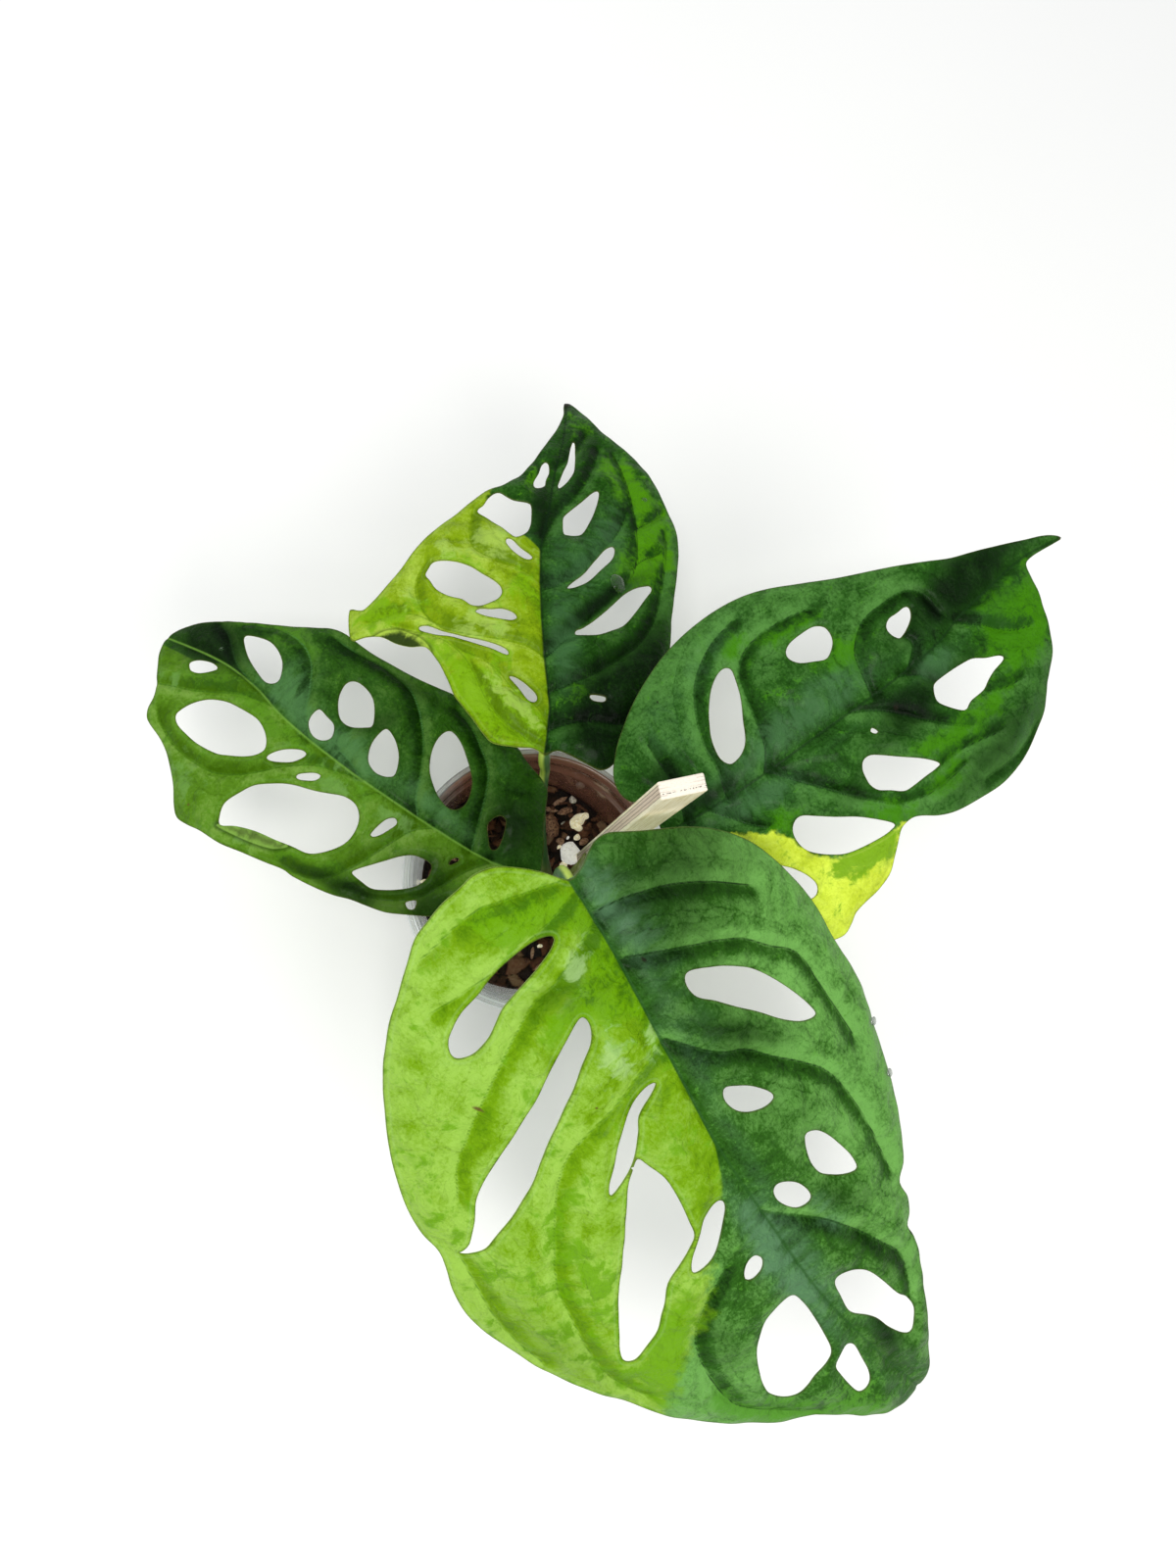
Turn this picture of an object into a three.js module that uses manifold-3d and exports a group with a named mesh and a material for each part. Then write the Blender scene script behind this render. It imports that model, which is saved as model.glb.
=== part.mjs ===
// A half moon swiss cheese vine in a clear nursery pot: four perforated leaves on one short stem,
// a chunky potting mix and a plywood stake. Millimetres, +Z up; the origin is the centre of the pot's
// underside.
import * as THREE from 'three';
import { mergeVertices } from 'three/addons/utils/BufferGeometryUtils.js';
import Module from 'manifold-3d';

const wasm = await Module();
wasm.setup();

// Clearance between pieces that touch
const GAP = 0.35;

// Clear nursery pot
const POT = {
  height: 85, flangeRadius: 45, flangeThickness: 1.6, collarRadius: 42.9, collarHeight: 11,
  shoulderRadius: 41.2, shoulderDrop: 2.2, baseRadius: 34, wall: 1.2, floor: 1.6, sides: 36,
};
const DRAIN = { count: 6, radius: 2.6, ring: 21, sides: 10 };

// Potting mix: a bumpy plug with lumps sunk into its top
const MIX = { crown: 57, edge: 54, bump: 1.1, sides: 36, sunk: 0.35 };
const LUMPS = { count: 38, reach: 33, small: 2.1, large: 4.4, seed: 20 };
const NAMED_LUMPS = [
  { name: 'pumice', at: [15.6, 10.8, 58.8], radii: [4.9, 4.2, 3.8], turn: 20 },
  { name: 'cream pumice', at: [18.8, 23.8, 57.5], radii: [3.7, 2.8, 2.6], turn: 50 },
  { name: 'bark', at: [9.6, 21.0, 57.8], radii: [2.9, 5.6, 2.7], turn: 8 },
  { name: 'grit', at: [17.0, 31.0, 56.5], radii: [1.7, 1.6, 1.5], turn: 0 },
];

// Plywood stake: its top centre, how far it shifts sideways for each millimetre down, and its section
const STAKE = {
  top: [24.6, 15.9, 199], leanX: -0.004, leanY: -0.048, heading: 11.6,
  width: 12.7, thickness: 4.8, corner: 0.8, bottom: 21,
};

// Stem: a short vine with swollen nodes, a new shoot and an aerial root
const STEM = {
  path: [[6.5, -3.5, 22], [6.8, -3.2, 45], [6.2, -2.6, 66], [5.2, -2.8, 90]], radius: 3.3, sides: 12,
  nodes: [[6.5, -2.8, 60], [6.1, -2.6, 68], [5.7, -2.7, 77], [5.3, -2.8, 86]],
  nodeRadius: 4.1, nodeHeight: 1.6,
};
const SHOOT = {
  path: [[5.2, -2.8, 89], [9.6, -0.6, 92], [12.4, 3.0, 99], [13.4, 6.6, 108]],
  radius: 1.9, tip: 0.5, sides: 8,
};
const ROOT = {
  path: [[6.2, -2.6, 74], [10.2, 2.2, 74], [12.9, 4.4, 68], [13.4, 4.4, 58], [13.0, 3.6, 46]],
  radius: 0.95, sides: 8,
};

// Leaves: every blade is drawn in its own plane, x from its base towards its tip and y to its left, then
// scaled by size, arched along its length, drooped towards its margins and folded up along its midrib
const BLADE = { thickness: 0.9, step: 9.5, spread: 1.35, foldWidth: 6, cutDepth: 90 };
const PETIOLE = { radius: 1.75, sides: 8, sheathRadius: 2.5 };
const RIB = { radius: 1.15, sides: 6, reach: 0.78 };

const LEAVES = [
  {
    name: 'leaf_front', colour: 0x6fa23a,
    base: [-0.9, -6.0, 178.0], heading: -53.0, pitch: -18.7, size: 1, length: 205.7,
    arch: 16, droop: 18, halfWidth: 62, fold: 3,
    midrib: [
      [-20, 0], [0, -1], [20, -3], [50, -7.5], [80, -11.5], [110, -12.2], [140, -11.7], [170, -8],
      [206, -1.5],
    ],
    outline: [
      [0, -0.5], [-1.2, 4], [-3.2, 7.5], [-4.5, 11], [-4, 15], [-1, 19.5], [3, 25.5], [8, 33], [14, 40],
      [20, 45], [28, 49.5], [38, 52.5], [52, 55], [66, 54], [76, 54], [84, 53], [90, 51.5], [96, 49.5],
      [103, 46.8], [110.4, 43.8], [118.6, 40.4], [126.6, 36], [132.5, 31.8], [136, 27.2], [142, 27],
      [146, 25], [149, 22], [154, 22], [160, 20.5], [166, 18.2], [175, 14.5], [185, 10.5], [195, 7],
      [201, 5], [204.5, 2.5], [206.5, -1.2], [206.8, -5], [206, -10], [204, -14], [200, -17.7],
      [195, -21.5], [190, -25], [185, -29], [181, -33], [179, -35.8], [177.5, -38.7], [175.4, -42.4],
      [170.4, -47.6], [164.5, -53.4], [157.7, -59.6], [150, -65.5], [138.3, -72.8], [127.2, -79.8],
      [115.3, -86], [105, -89.6], [96, -92.2], [87, -93], [79, -91.8], [72, -89.3], [66, -87.9],
      [60, -88.6], [52, -87.6], [42, -84.4], [34, -81], [25, -76], [15, -69.6], [5, -61], [0, -55],
      [-5, -49], [-10, -42.5], [-12.5, -37], [-14.3, -31], [-15.3, -25], [-16, -20], [-14.7, -15],
      [-11, -10], [-6, -5.3], [-1.5, -2.2],
    ],
    holes: [
      [[8.5, -13.5], [10.5, -16], [12.5, -22], [14, -30], [15.5, -35], [18, -39], [20.5, -43],
        [22, -48], [21, -52], [19, -52.8], [16, -51.4], [14, -49], [11.3, -44], [9.5, -38], [7.8, -33],
        [6.7, -27], [6.5, -21], [7, -16]],
      [[29, -21], [30.3, -19.8], [33, -20.5], [36, -23], [39, -28], [42.5, -33.1], [46, -38.6],
        [50.5, -45.1], [55.6, -51.5], [60.7, -58.4], [65.6, -67.5], [68.6, -73.6], [70.6, -78.2],
        [69.8, -83.8], [67.6, -79.8], [61.7, -74.7], [56.6, -70.6], [52.5, -65.6], [48.4, -58.7],
        [45, -52], [40, -42.5], [35, -34], [31, -26]],
      [[55.3, -15.2], [57, -18], [59.5, -24], [63, -26.8], [66.8, -30.4], [70.4, -35.2], [73, -42],
        [70.5, -41.3], [66, -36.7], [60, -30], [56, -23.5], [54.5, -18]],
      [[68.6, -31], [72, -29.8], [78, -28.2], [85, -28.7], [92, -29.9], [97, -31], [99.6, -34.6],
        [101.8, -39], [105, -44.3], [111, -49.5], [117, -54.5], [121, -60], [123, -64], [121.5, -66.5],
        [117, -65.5], [110.3, -62.1], [100.4, -56.7], [90.4, -49.4], [80.4, -42.4], [73.9, -37.6],
        [70.8, -34.1]],
      [[93.5, -20.2], [95, -19.3], [97.3, -20.3], [100.3, -23.2], [103.3, -26.4], [106, -30],
        [107.3, -33.3], [107, -36.4], [105.5, -37.2], [102.8, -35.6], [100, -32], [97.4, -29.2],
        [94.7, -26.4], [93.4, -23]],
      [[114.5, -21], [117, -19.8], [119.5, -21.5], [120.3, -25], [119.2, -26.7], [117, -26],
        [114.8, -23.8]],
      [[134.5, -18.5], [138, -17.5], [145, -17], [155, -17.5], [161, -18.5], [163.3, -21.5],
        [164.7, -26], [167, -30], [168, -33.5], [166, -37], [162, -39.5], [157, -40.2], [150, -39],
        [141, -35.5], [135, -30], [133, -25], [133.2, -21]],
      [[164.3, -14], [166, -12.2], [169, -11.7], [175, -12], [181, -12.3], [185, -13.5], [186.2, -16],
        [184.5, -18.5], [179, -19.5], [172, -20.1], [167.5, -20], [165.2, -17.2]],
      [[37.5, 9], [38.5, 12], [42, 17.5], [46, 22], [51, 26], [58, 29.5], [66, 32.5], [72, 34],
        [75, 34.2], [74.5, 31.8], [71.5, 28], [66, 23.5], [60, 19.5], [54, 15], [48.5, 11.2], [45, 8],
        [42, 7], [39, 7.3]],
      [[69.2, -0.5], [71, 2.2], [74, 5.5], [78, 8.3], [80.6, 9], [81.3, 7.6], [80.8, 4], [79, 0.5],
        [76, -2], [72.5, -2.8], [70, -2]],
      [[95.8, 10.5], [98, 13.5], [103, 16], [110, 17.8], [115, 18.4], [118.2, 17.6], [115.4, 12.8],
        [111.5, 9], [108, 7.3], [103, 7.1], [98, 8.8]],
      [[101.8, -4.5], [103, -2], [106, 0.5], [110, 1.8], [113, 1.7], [114, -0.2], [113, -3.3],
        [110, -5.5], [106, -6.8], [103, -6.3]],
      [[141.3, -5.3], [142, -2], [144, 1], [148, 3.8], [155, 5.8], [163, 7.5], [168, 9.5], [173, 10],
        [177, 8], [180.3, 5.2], [178, 2.5], [172, 0], [166, -1.5], [161, -3.8], [157, -6.7],
        [153.5, -7.6], [148, -7.2], [143, -6.8]],
    ],
    petiole: [[4.9, -2.9, 84], [3.4, -4.6, 98], [0.6, -4.4, 130], [-2.2, -3.2, 160], [-2.9, -3.9, 172]],
  },
  {
    name: 'leaf_left', colour: 0x5b8f37,
    base: [-3.1, 0.9, 106.0], heading: 144.7, pitch: -7.1, size: 1, length: 146.3,
    arch: 12, droop: 10, halfWidth: 42, fold: 2,
    midrib: [
      [-20, 0], [0, 1], [12, 5.2], [30, 7], [60, 7.5], [80, 6.5], [95, 4.6], [107, 1.6], [122, 0.5],
      [144, 3.2],
    ],
    outline: [
      [1, 2.5], [-2, 4.5], [-5, 9], [-5.5, 15], [-2, 21], [4, 25.6], [11, 28.4], [18, 30], [22, 32.2],
      [27, 35], [32, 37.5], [38, 39], [43, 40.2], [48, 42], [54, 43.3], [62, 44.3], [66, 44.2],
      [72, 45.5], [80, 47], [88, 48.6], [96, 48.8], [101, 49.5], [105.5, 49.5], [108.5, 47], [112, 42],
      [116, 38], [120, 34.6], [124.5, 32], [130, 30], [132.8, 28.6], [134.2, 26], [134.4, 22],
      [136.3, 18], [140, 13], [143, 8.5], [144.2, 4], [143, 0], [140, -4], [135, -8.6], [129, -12.5],
      [121, -17], [112, -21.6], [105, -26], [100, -29], [95, -30], [87, -29.5], [78, -30], [68, -31],
      [60, -32.5], [53.5, -33.8], [48, -32.3], [42, -31.3], [34, -31.8], [27.5, -31.2], [24, -29.6],
      [19.2, -28.1], [15, -27], [12, -25.4], [10.6, -23.6], [9.4, -21.2], [7.2, -16.8], [5, -13],
      [3, -10.3], [0.6, -6.2], [-0.8, -3.4], [-1.4, -1.2],
    ],
    holes: [
      [[24.6, 31.4], [26, 32.4], [27.8, 31.4], [26.9, 30], [25.6, 28.9], [24.8, 29.8]],
      [[26.4, 20], [26.8, 23], [28.5, 26], [31, 28.5], [35, 31.5], [39, 33.6], [43, 33.6], [46.8, 33.1],
        [46, 31], [43, 27.5], [40, 24], [37, 20.5], [34, 18], [30.5, 17], [27.6, 17.2]],
      [[22, 12.5], [23.2, 14], [23.4, 12], [22.3, 10.5], [21.5, 11]],
      [[43.8, 12.8], [44.5, 15.2], [46, 18.5], [47.5, 20.3], [48.5, 20.1], [48.3, 17.3], [47.5, 14],
        [46.4, 12.3], [45, 11.6]],
      [[53, 24], [53.8, 27.5], [56, 31], [59, 34.3], [62, 36], [67, 36.8], [73, 38], [80, 39.2],
        [86, 41.2], [90.8, 43.7], [92.6, 41.5], [93.3, 37.6], [91.5, 33], [88, 27.7], [83, 24],
        [78, 21], [72, 19], [66, 16.5], [62, 14.9], [58, 15], [55, 17], [53.4, 20]],
      [[72.2, 13.8], [73, 16], [76, 18], [78, 18.5], [78.5, 17.4], [76.5, 15.5], [74, 13.8]],
      [[80, 10.7], [80.7, 12.7], [83, 15.5], [87, 18.2], [89.6, 18.6], [89.4, 16.8], [87, 13.5],
        [84, 11.2], [81.5, 10.2]],
      [[91.8, 16.5], [93, 19.5], [96, 22], [101, 24.5], [105, 26], [112, 26.7], [118, 26], [122, 25],
        [124, 23], [123.5, 20.5], [121.5, 16.5], [118, 13], [113, 10.7], [108, 10], [101, 9.8],
        [97, 11], [93.5, 13.5]],
      [[122, 3], [123.2, 5], [126, 7.4], [128.8, 8.3], [130.5, 7.5], [131.2, 6], [129, 3.9],
        [125, 2.5]],
      [[53.3, 0], [54.5, 2], [57, 3], [59.5, 3], [62.5, 1.5], [64.5, -2], [65.2, -5.8], [64.6, -10],
        [62.8, -10.4], [59, -8.5], [55.5, -5]],
      [[76.7, 1.5], [78, 3.8], [80.5, 4.7], [83.5, 3.9], [86, 1.5], [86.3, -1.5], [85.3, -3.7],
        [82, -3], [78.5, -2]],
      [[68.5, -9], [70, -7], [74, -4.6], [77.5, -4.6], [80.5, -7], [83, -11], [84, -15.3],
        [82.5, -17.8], [79.5, -18.3], [75, -17], [71.5, -14]],
      [[102.2, -5], [103, -2.6], [105.5, -1.6], [109, -2.5], [115, -5], [119, -7.8], [121.3, -10.2],
        [120, -11.8], [114, -13.5], [109, -12.5], [104.5, -9.5]],
      [[30, -5], [31, -2.2], [33, -0.9], [36, -1.2], [40, -3], [45, -7], [48, -12], [49.3, -17],
        [48.8, -21], [47, -22.3], [43, -21], [38, -17.5], [33, -13], [30.8, -9]],
      [[13.7, 0], [14.5, 1.9], [16, 1.7], [18, -0.5], [20.5, -3.7], [20, -7], [18.3, -8.7], [16.4, -8],
        [14.8, -4.5]],
    ],
    petiole: [[6.1, -2.7, 66.5], [1.6, -1.6, 72], [-0.7, -0.8, 88], [-1.0, -0.4, 101]],
  },
  {
    name: 'leaf_back', colour: 0x4f8424,
    base: [-0.6, 36.1, 122.0], heading: 83.6, pitch: -17.5, size: 1, length: 146.3,
    arch: 12, droop: 12, halfWidth: 50, fold: 2.5,
    midrib: [
      [-20, 0], [0, 0.3], [15, 0.2], [30, 3], [45, 5.2], [60, 6.6], [72, 7], [88, 5.2], [105, 3.8],
      [125, 1], [147, 0],
    ],
    outline: [
      [1.5, 1], [2.4, 4], [1.8, 9], [1.6, 14], [2.6, 17.6], [5, 20.2], [9, 23.4], [13, 27], [17, 30.4],
      [22, 33.2], [28, 36.8], [33, 41], [33.3, 46], [35, 51], [37.8, 56], [38.2, 60.5], [37.4, 64.4],
      [41, 66.2], [48.6, 67], [48, 63.8], [48.7, 61.3], [56, 55.4], [62, 51.6], [68, 48.2],
      [72.5, 44.8], [77, 41], [82, 36.6], [88, 31.2], [92, 27.3], [94, 24.4], [95.6, 21.4],
      [98.5, 18.2], [101.5, 15.4], [108, 12], [115, 9], [122, 6.2], [128, 3.9], [134, 2.2], [140, 1],
      [145, 1], [147.6, 0.2], [146.4, -1.6], [143, -4.2], [138, -8], [133, -11.6], [130, -14.6],
      [127, -18.6], [123, -23], [118, -27.5], [112, -31.5], [106, -35.2], [100, -38.4], [93, -41],
      [85, -42], [75, -41.5], [65, -40.5], [55, -39.6], [45, -39.2], [35, -38], [25, -35.6],
      [15, -32.2], [7, -27.4], [1, -22.4], [-1.4, -20], [-2.2, -17.4], [-1.4, -14.4], [0.4, -10],
      [2, -6], [2.4, -3.4], [1.4, -1],
    ],
    holes: [
      [[17, 4.9], [17.6, 7], [20, 9.7], [22, 12], [24, 13.9], [24, 12], [22.3, 8.5], [20, 5.5],
        [18.2, 4.4]],
      [[31, 14.8], [31.2, 17], [32.5, 21], [34, 26], [36, 32], [37.4, 38], [38.8, 42.8], [40, 43.8],
        [40.4, 41.5], [39.5, 38], [38, 33.5], [36, 27], [34.5, 21], [32.8, 15.7]],
      [[42.5, 15], [42.4, 19], [43.2, 23.2], [44.6, 26.5], [45.6, 25.2], [45.5, 21.5], [46.2, 18],
        [45.4, 14.6], [43.8, 13.2]],
      [[46.7, 24.6], [47, 28], [49, 31.2], [50.5, 36], [52.5, 39.5], [56, 42], [58.5, 43.6], [61, 43],
        [63.2, 41.3], [62.6, 36], [61.5, 31.5], [58.5, 26], [55.5, 20.7], [53.4, 19], [51, 18.9],
        [48.8, 20.7]],
      [[65.8, 10.7], [66, 13], [68, 16.5], [70.4, 18.7], [72.3, 18.6], [72.2, 16.8], [70, 14],
        [68, 10.7], [66.8, 9.7]],
      [[73.6, 15.6], [74.6, 18], [77, 21], [80, 25], [83, 28.6], [84.8, 28.7], [86.4, 27.2], [89, 26],
        [91.4, 24], [92.2, 22], [90.8, 19.5], [89.6, 17], [89.3, 12.6], [88, 11.3], [84, 11],
        [80, 11.1], [76.2, 12.3]],
      [[96.5, 9.8], [97.6, 10.9], [100, 10.7], [104, 9.3], [108, 8.5], [110, 7.2], [109, 6.1],
        [105, 5.8], [101, 6.8], [98, 7.2]],
      [[98.1, 2], [99.2, 2.5], [102, 1.9], [107, 0.7], [112, -0.7], [119, -1.5], [123.3, -2.5],
        [121, -3.2], [113, -3.2], [107, -2.8], [103, -1.3], [100, 0.4]],
      [[77.7, -1], [78.7, -0.1], [82, 0.2], [85.5, 0], [89, -2.5], [94, -6.5], [98, -9.6],
        [99.2, -11.3], [97, -11.7], [91, -10.7], [84, -8.7], [79.2, -6.5], [77.8, -4]],
      [[57, -2.7], [58.2, -3], [61, -5.2], [65, -8.5], [70, -11.5], [75, -14.6], [76.8, -17],
        [75, -17.9], [71, -17], [66, -13.5], [61, -9.5], [58, -5.7]],
      [[40.5, -7.2], [41.3, -6.1], [42.6, -6.7], [44, -9], [50, -14.5], [55, -18.5], [60, -22.5],
        [64, -27.5], [66.3, -31.2], [64.4, -31.8], [58, -28.5], [50, -24], [46, -20], [42.5, -15],
        [41, -11]],
      [[19, -14], [19.7, -12.4], [20.7, -12.5], [21, -15], [20.9, -17.3], [20, -17.6], [19.2, -16.5]],
    ],
    petiole: [
      [6.0, -2.6, 74], [4.6, 3, 75.5], [3.2, 10, 79], [2.2, 18, 84], [1.6, 25.5, 90.5],
      [1.5, 31.5, 98], [1.1, 34.5, 106], [0, 35.6, 113],
    ],
  },
  {
    name: 'leaf_right', colour: 0x3a6f35,
    base: [35.0, 10.6, 127.5], heading: 35.8, pitch: 6.9, size: 0.975, length: 166.1,
    arch: 10, droop: 12, halfWidth: 50, fold: 2.5,
    midrib: [
      [-20, 0], [0, -0.4], [15, -2], [30, -3.3], [60, -3.8], [90, -4.2], [107, -3.2], [118, -0.6],
      [132, 1], [150, 2.2], [167, -0.4],
    ],
    outline: [
      [0.4, 0.8], [1, 3.5], [1.6, 6.8], [1.6, 10], [0.8, 12.6], [-1.2, 13.8], [-2.6, 16], [-3, 19],
      [-2.2, 22.6], [-0.5, 25.6], [2, 28.4], [6, 32], [11, 35.5], [16, 38.6], [22, 41.6], [28, 44],
      [34, 46], [40, 47.3], [47, 48.2], [55, 48.4], [63, 47.7], [70, 46], [77, 43], [84, 39], [91, 35],
      [100, 30.5], [110, 25.7], [119, 21], [127, 16.8], [133, 14.5], [140, 12], [147, 9.5], [155, 6.3],
      [160, 4.4], [164, 2.2], [166.8, -0.5], [163, -0.4], [158, 0.2], [153, 0.6], [149.8, 0.2],
      [148.6, -1.4], [147.8, -4.4], [146.5, -8.5], [144.8, -14], [143.4, -19], [141, -25], [138, -29.5],
      [134.5, -33], [131.6, -35.4], [129.3, -38.4], [125.8, -42.5], [120.5, -46.4], [114.5, -49.8],
      [106.4, -52.2], [98.2, -53.1], [90, -52.3], [82, -51], [76, -48.5], [71, -45], [67.5, -43.5],
      [63.4, -44], [61, -45.8], [58.8, -48.1], [56, -50.8], [51.8, -54.6], [46.4, -56.6], [41, -57.3],
      [36.4, -58.4], [33.4, -60.6], [29.2, -62.4], [23, -60.6], [16, -57.6], [9, -51], [3.5, -41.5],
      [-0.5, -31], [-2.6, -21], [-2.2, -12.5], [-0.6, -6.4], [0.4, -2.4],
    ],
    holes: [
      [[28.8, 8], [29.1, 11.5], [30.5, 16], [33, 20], [36, 24], [40, 28], [44, 30.5], [47.4, 31.1],
        [49, 29.6], [48.3, 26.5], [46, 21], [42, 14.5], [38.6, 9], [36, 6.5], [33, 5.3], [30.2, 5.4]],
      [[65.2, 21], [66, 23.5], [69, 25], [74, 25.2], [78, 24.7], [80.5, 22.5], [80.5, 19.5], [79, 16.7],
        [76, 14.5], [73.8, 14.2], [71, 15.6], [67, 18]],
      [[96, 9], [96.6, 11], [99, 12.4], [102.3, 12.3], [105.4, 12.4], [106.6, 11.3], [105.4, 8.8],
        [102.5, 6.8], [98.5, 5.3], [96.8, 6.5]],
      [[95.2, -18], [96, -15], [98.2, -12.9], [104, -12.7], [110, -13.2], [113.4, -14], [117, -16.3],
        [121, -18.1], [122.4, -19.5], [121.3, -20.4], [117, -21.2], [113.5, -22.6], [110.6, -24.2],
        [105, -24.5], [102.2, -25.7], [100.2, -24.8], [97, -21.2]],
      [[71.8, -12.9], [72.7, -12.1], [73.5, -13], [73.7, -14.4], [72.6, -14.2]],
      [[62, -24], [62.4, -21], [64.2, -18.8], [67, -18.7], [70, -20.8], [75, -25.2], [81, -30.2],
        [84.8, -34.5], [83, -35.1], [78, -35], [71.5, -35], [69, -34], [66.5, -31.8], [63.5, -29.5],
        [62.2, -27]],
      [[32.7, -26], [33.7, -23], [36, -21.1], [38.6, -21.3], [42, -24], [47, -28], [53, -32.3],
        [58, -37], [61.8, -41.5], [60, -42.4], [56, -42.4], [49, -41.3], [43, -39.5], [38, -36],
        [34.5, -32.5], [33, -29.5]],
      [[20, -25], [24.5, -30.5], [27, -33.5], [29.5, -38], [30.5, -42.2], [29, -45], [26.3, -45.2],
        [22.4, -42.6], [19.6, -36], [18.6, -29.5]],
    ],
    petiole: [[6.3, -2.7, 62.5], [10.5, -1.4, 70.5], [18, 1.6, 88], [26, 5.2, 107], [31.4, 8.2, 119.5]],
  },
];

const FINISHES = {
  pot: { color: 0xe4e6e6, roughness: 0.15, metalness: 0 },
  potting_mix: { color: 0x3a2a20, roughness: 0.95, metalness: 0 },
  stake: { color: 0xe6d9ae, roughness: 0.8, metalness: 0 },
  stem: { color: 0x6a7a35, roughness: 0.55, metalness: 0 },
  leaf: { roughness: 0.38, metalness: 0 },
};

/** Repeatable random numbers from 0 to 1. */
function randomFrom(seed) {
  let state = seed;
  return () => {
    state = (state * 1664525 + 1013904223) % 4294967296;
    return state / 4294967296;
  };
}

/** Merges a geometry's shared corners and hands it over as a closed solid. */
function solidOf(geometry) {
  const plain = geometry.clone();
  plain.deleteAttribute('normal');
  plain.deleteAttribute('uv');
  const merged = mergeVertices(plain, 1e-4);
  const mesh = new wasm.Mesh({
    numProp: 3,
    vertProperties: new Float32Array(merged.attributes.position.array),
    triVerts: new Uint32Array(merged.index.array),
  });
  return new wasm.Manifold(mesh);
}

/** Turns a joined or cut solid back into a geometry. */
function geometryOf(solid) {
  const mesh = solid.getMesh();
  const geometry = new THREE.BufferGeometry();
  geometry.setAttribute('position', new THREE.BufferAttribute(mesh.vertProperties, 3));
  geometry.setIndex(new THREE.BufferAttribute(mesh.triVerts, 1));
  geometry.computeVertexNormals();
  return geometry;
}

/** The largest body of a solid, without loose scraps or sealed hollows. */
function mainBody(solid) {
  return solid.decompose().reduce((best, body) => (body.volume() > best.volume() ? body : best));
}

function namedMesh(name, geometry, finish) {
  const mesh = new THREE.Mesh(geometry, new THREE.MeshStandardMaterial(finish));
  mesh.name = name;
  return mesh;
}

function vector(point) {
  return new THREE.Vector3(...point);
}

/** A round bar of one radius along a smooth curve through points, lengthened by extra at both ends. */
function tube(points, radius, sides, steps, extra = 0) {
  const ring = [];
  for (let i = 0; i < sides; i += 1) {
    const angle = (2 * Math.PI * i) / sides;
    ring.push(new THREE.Vector2(radius * Math.cos(angle), radius * Math.sin(angle)));
  }
  const beyond = (end, inner) => end.clone().add(end.clone().sub(inner).setLength(extra));
  const line = points.map((point) => point.clone());
  if (extra > 0) {
    line[0] = beyond(points[0], points[1]);
    line[line.length - 1] = beyond(points[points.length - 1], points[points.length - 2]);
  }
  const path = new THREE.CatmullRomCurve3(line, false, 'centripetal');
  const options = { steps, bevelEnabled: false, extrudePath: path };
  return new THREE.ExtrudeGeometry(new THREE.Shape(ring), options);
}

/** The y of a line of [x, y] points at x, on cubic pieces whose slopes are the neighbours' chords. */
function heightOfLine(line, x) {
  const last = line.length - 1;
  let i = 0;
  while (i < last - 1 && x > line[i + 1][0]) i += 1;
  const slope = (k) => {
    const [before, after] = [line[Math.max(k - 1, 0)], line[Math.min(k + 1, last)]];
    return (after[1] - before[1]) / (after[0] - before[0]);
  };
  const run = line[i + 1][0] - line[i][0];
  const t = THREE.MathUtils.clamp((x - line[i][0]) / run, 0, 1);
  const rise = line[i + 1][1] - line[i][1];
  const start = slope(i) * run;
  const end = slope(i + 1) * run;
  return line[i][1] + t * (start + t * (3 * rise - 2 * start - end + t * (start + end - 2 * rise)));
}

/** Height of a blade over its own plane: arched in x, drooping in y, and folded up from its midrib. */
function bladeHeight(leaf, x, y) {
  const along = THREE.MathUtils.clamp(x / leaf.length, -0.3, 1.2);
  const across = y - heightOfLine(leaf.midrib, x);
  const fromRib = Math.abs(across) / BLADE.foldWidth;
  const arch = 4 * leaf.arch * along * (1 - along);
  const droop = leaf.droop * (across / leaf.halfWidth) ** 2;
  return arch - droop + leaf.fold * (1 - Math.exp((-fromRib * fromRib) / (1 + fromRib)));
}

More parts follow.
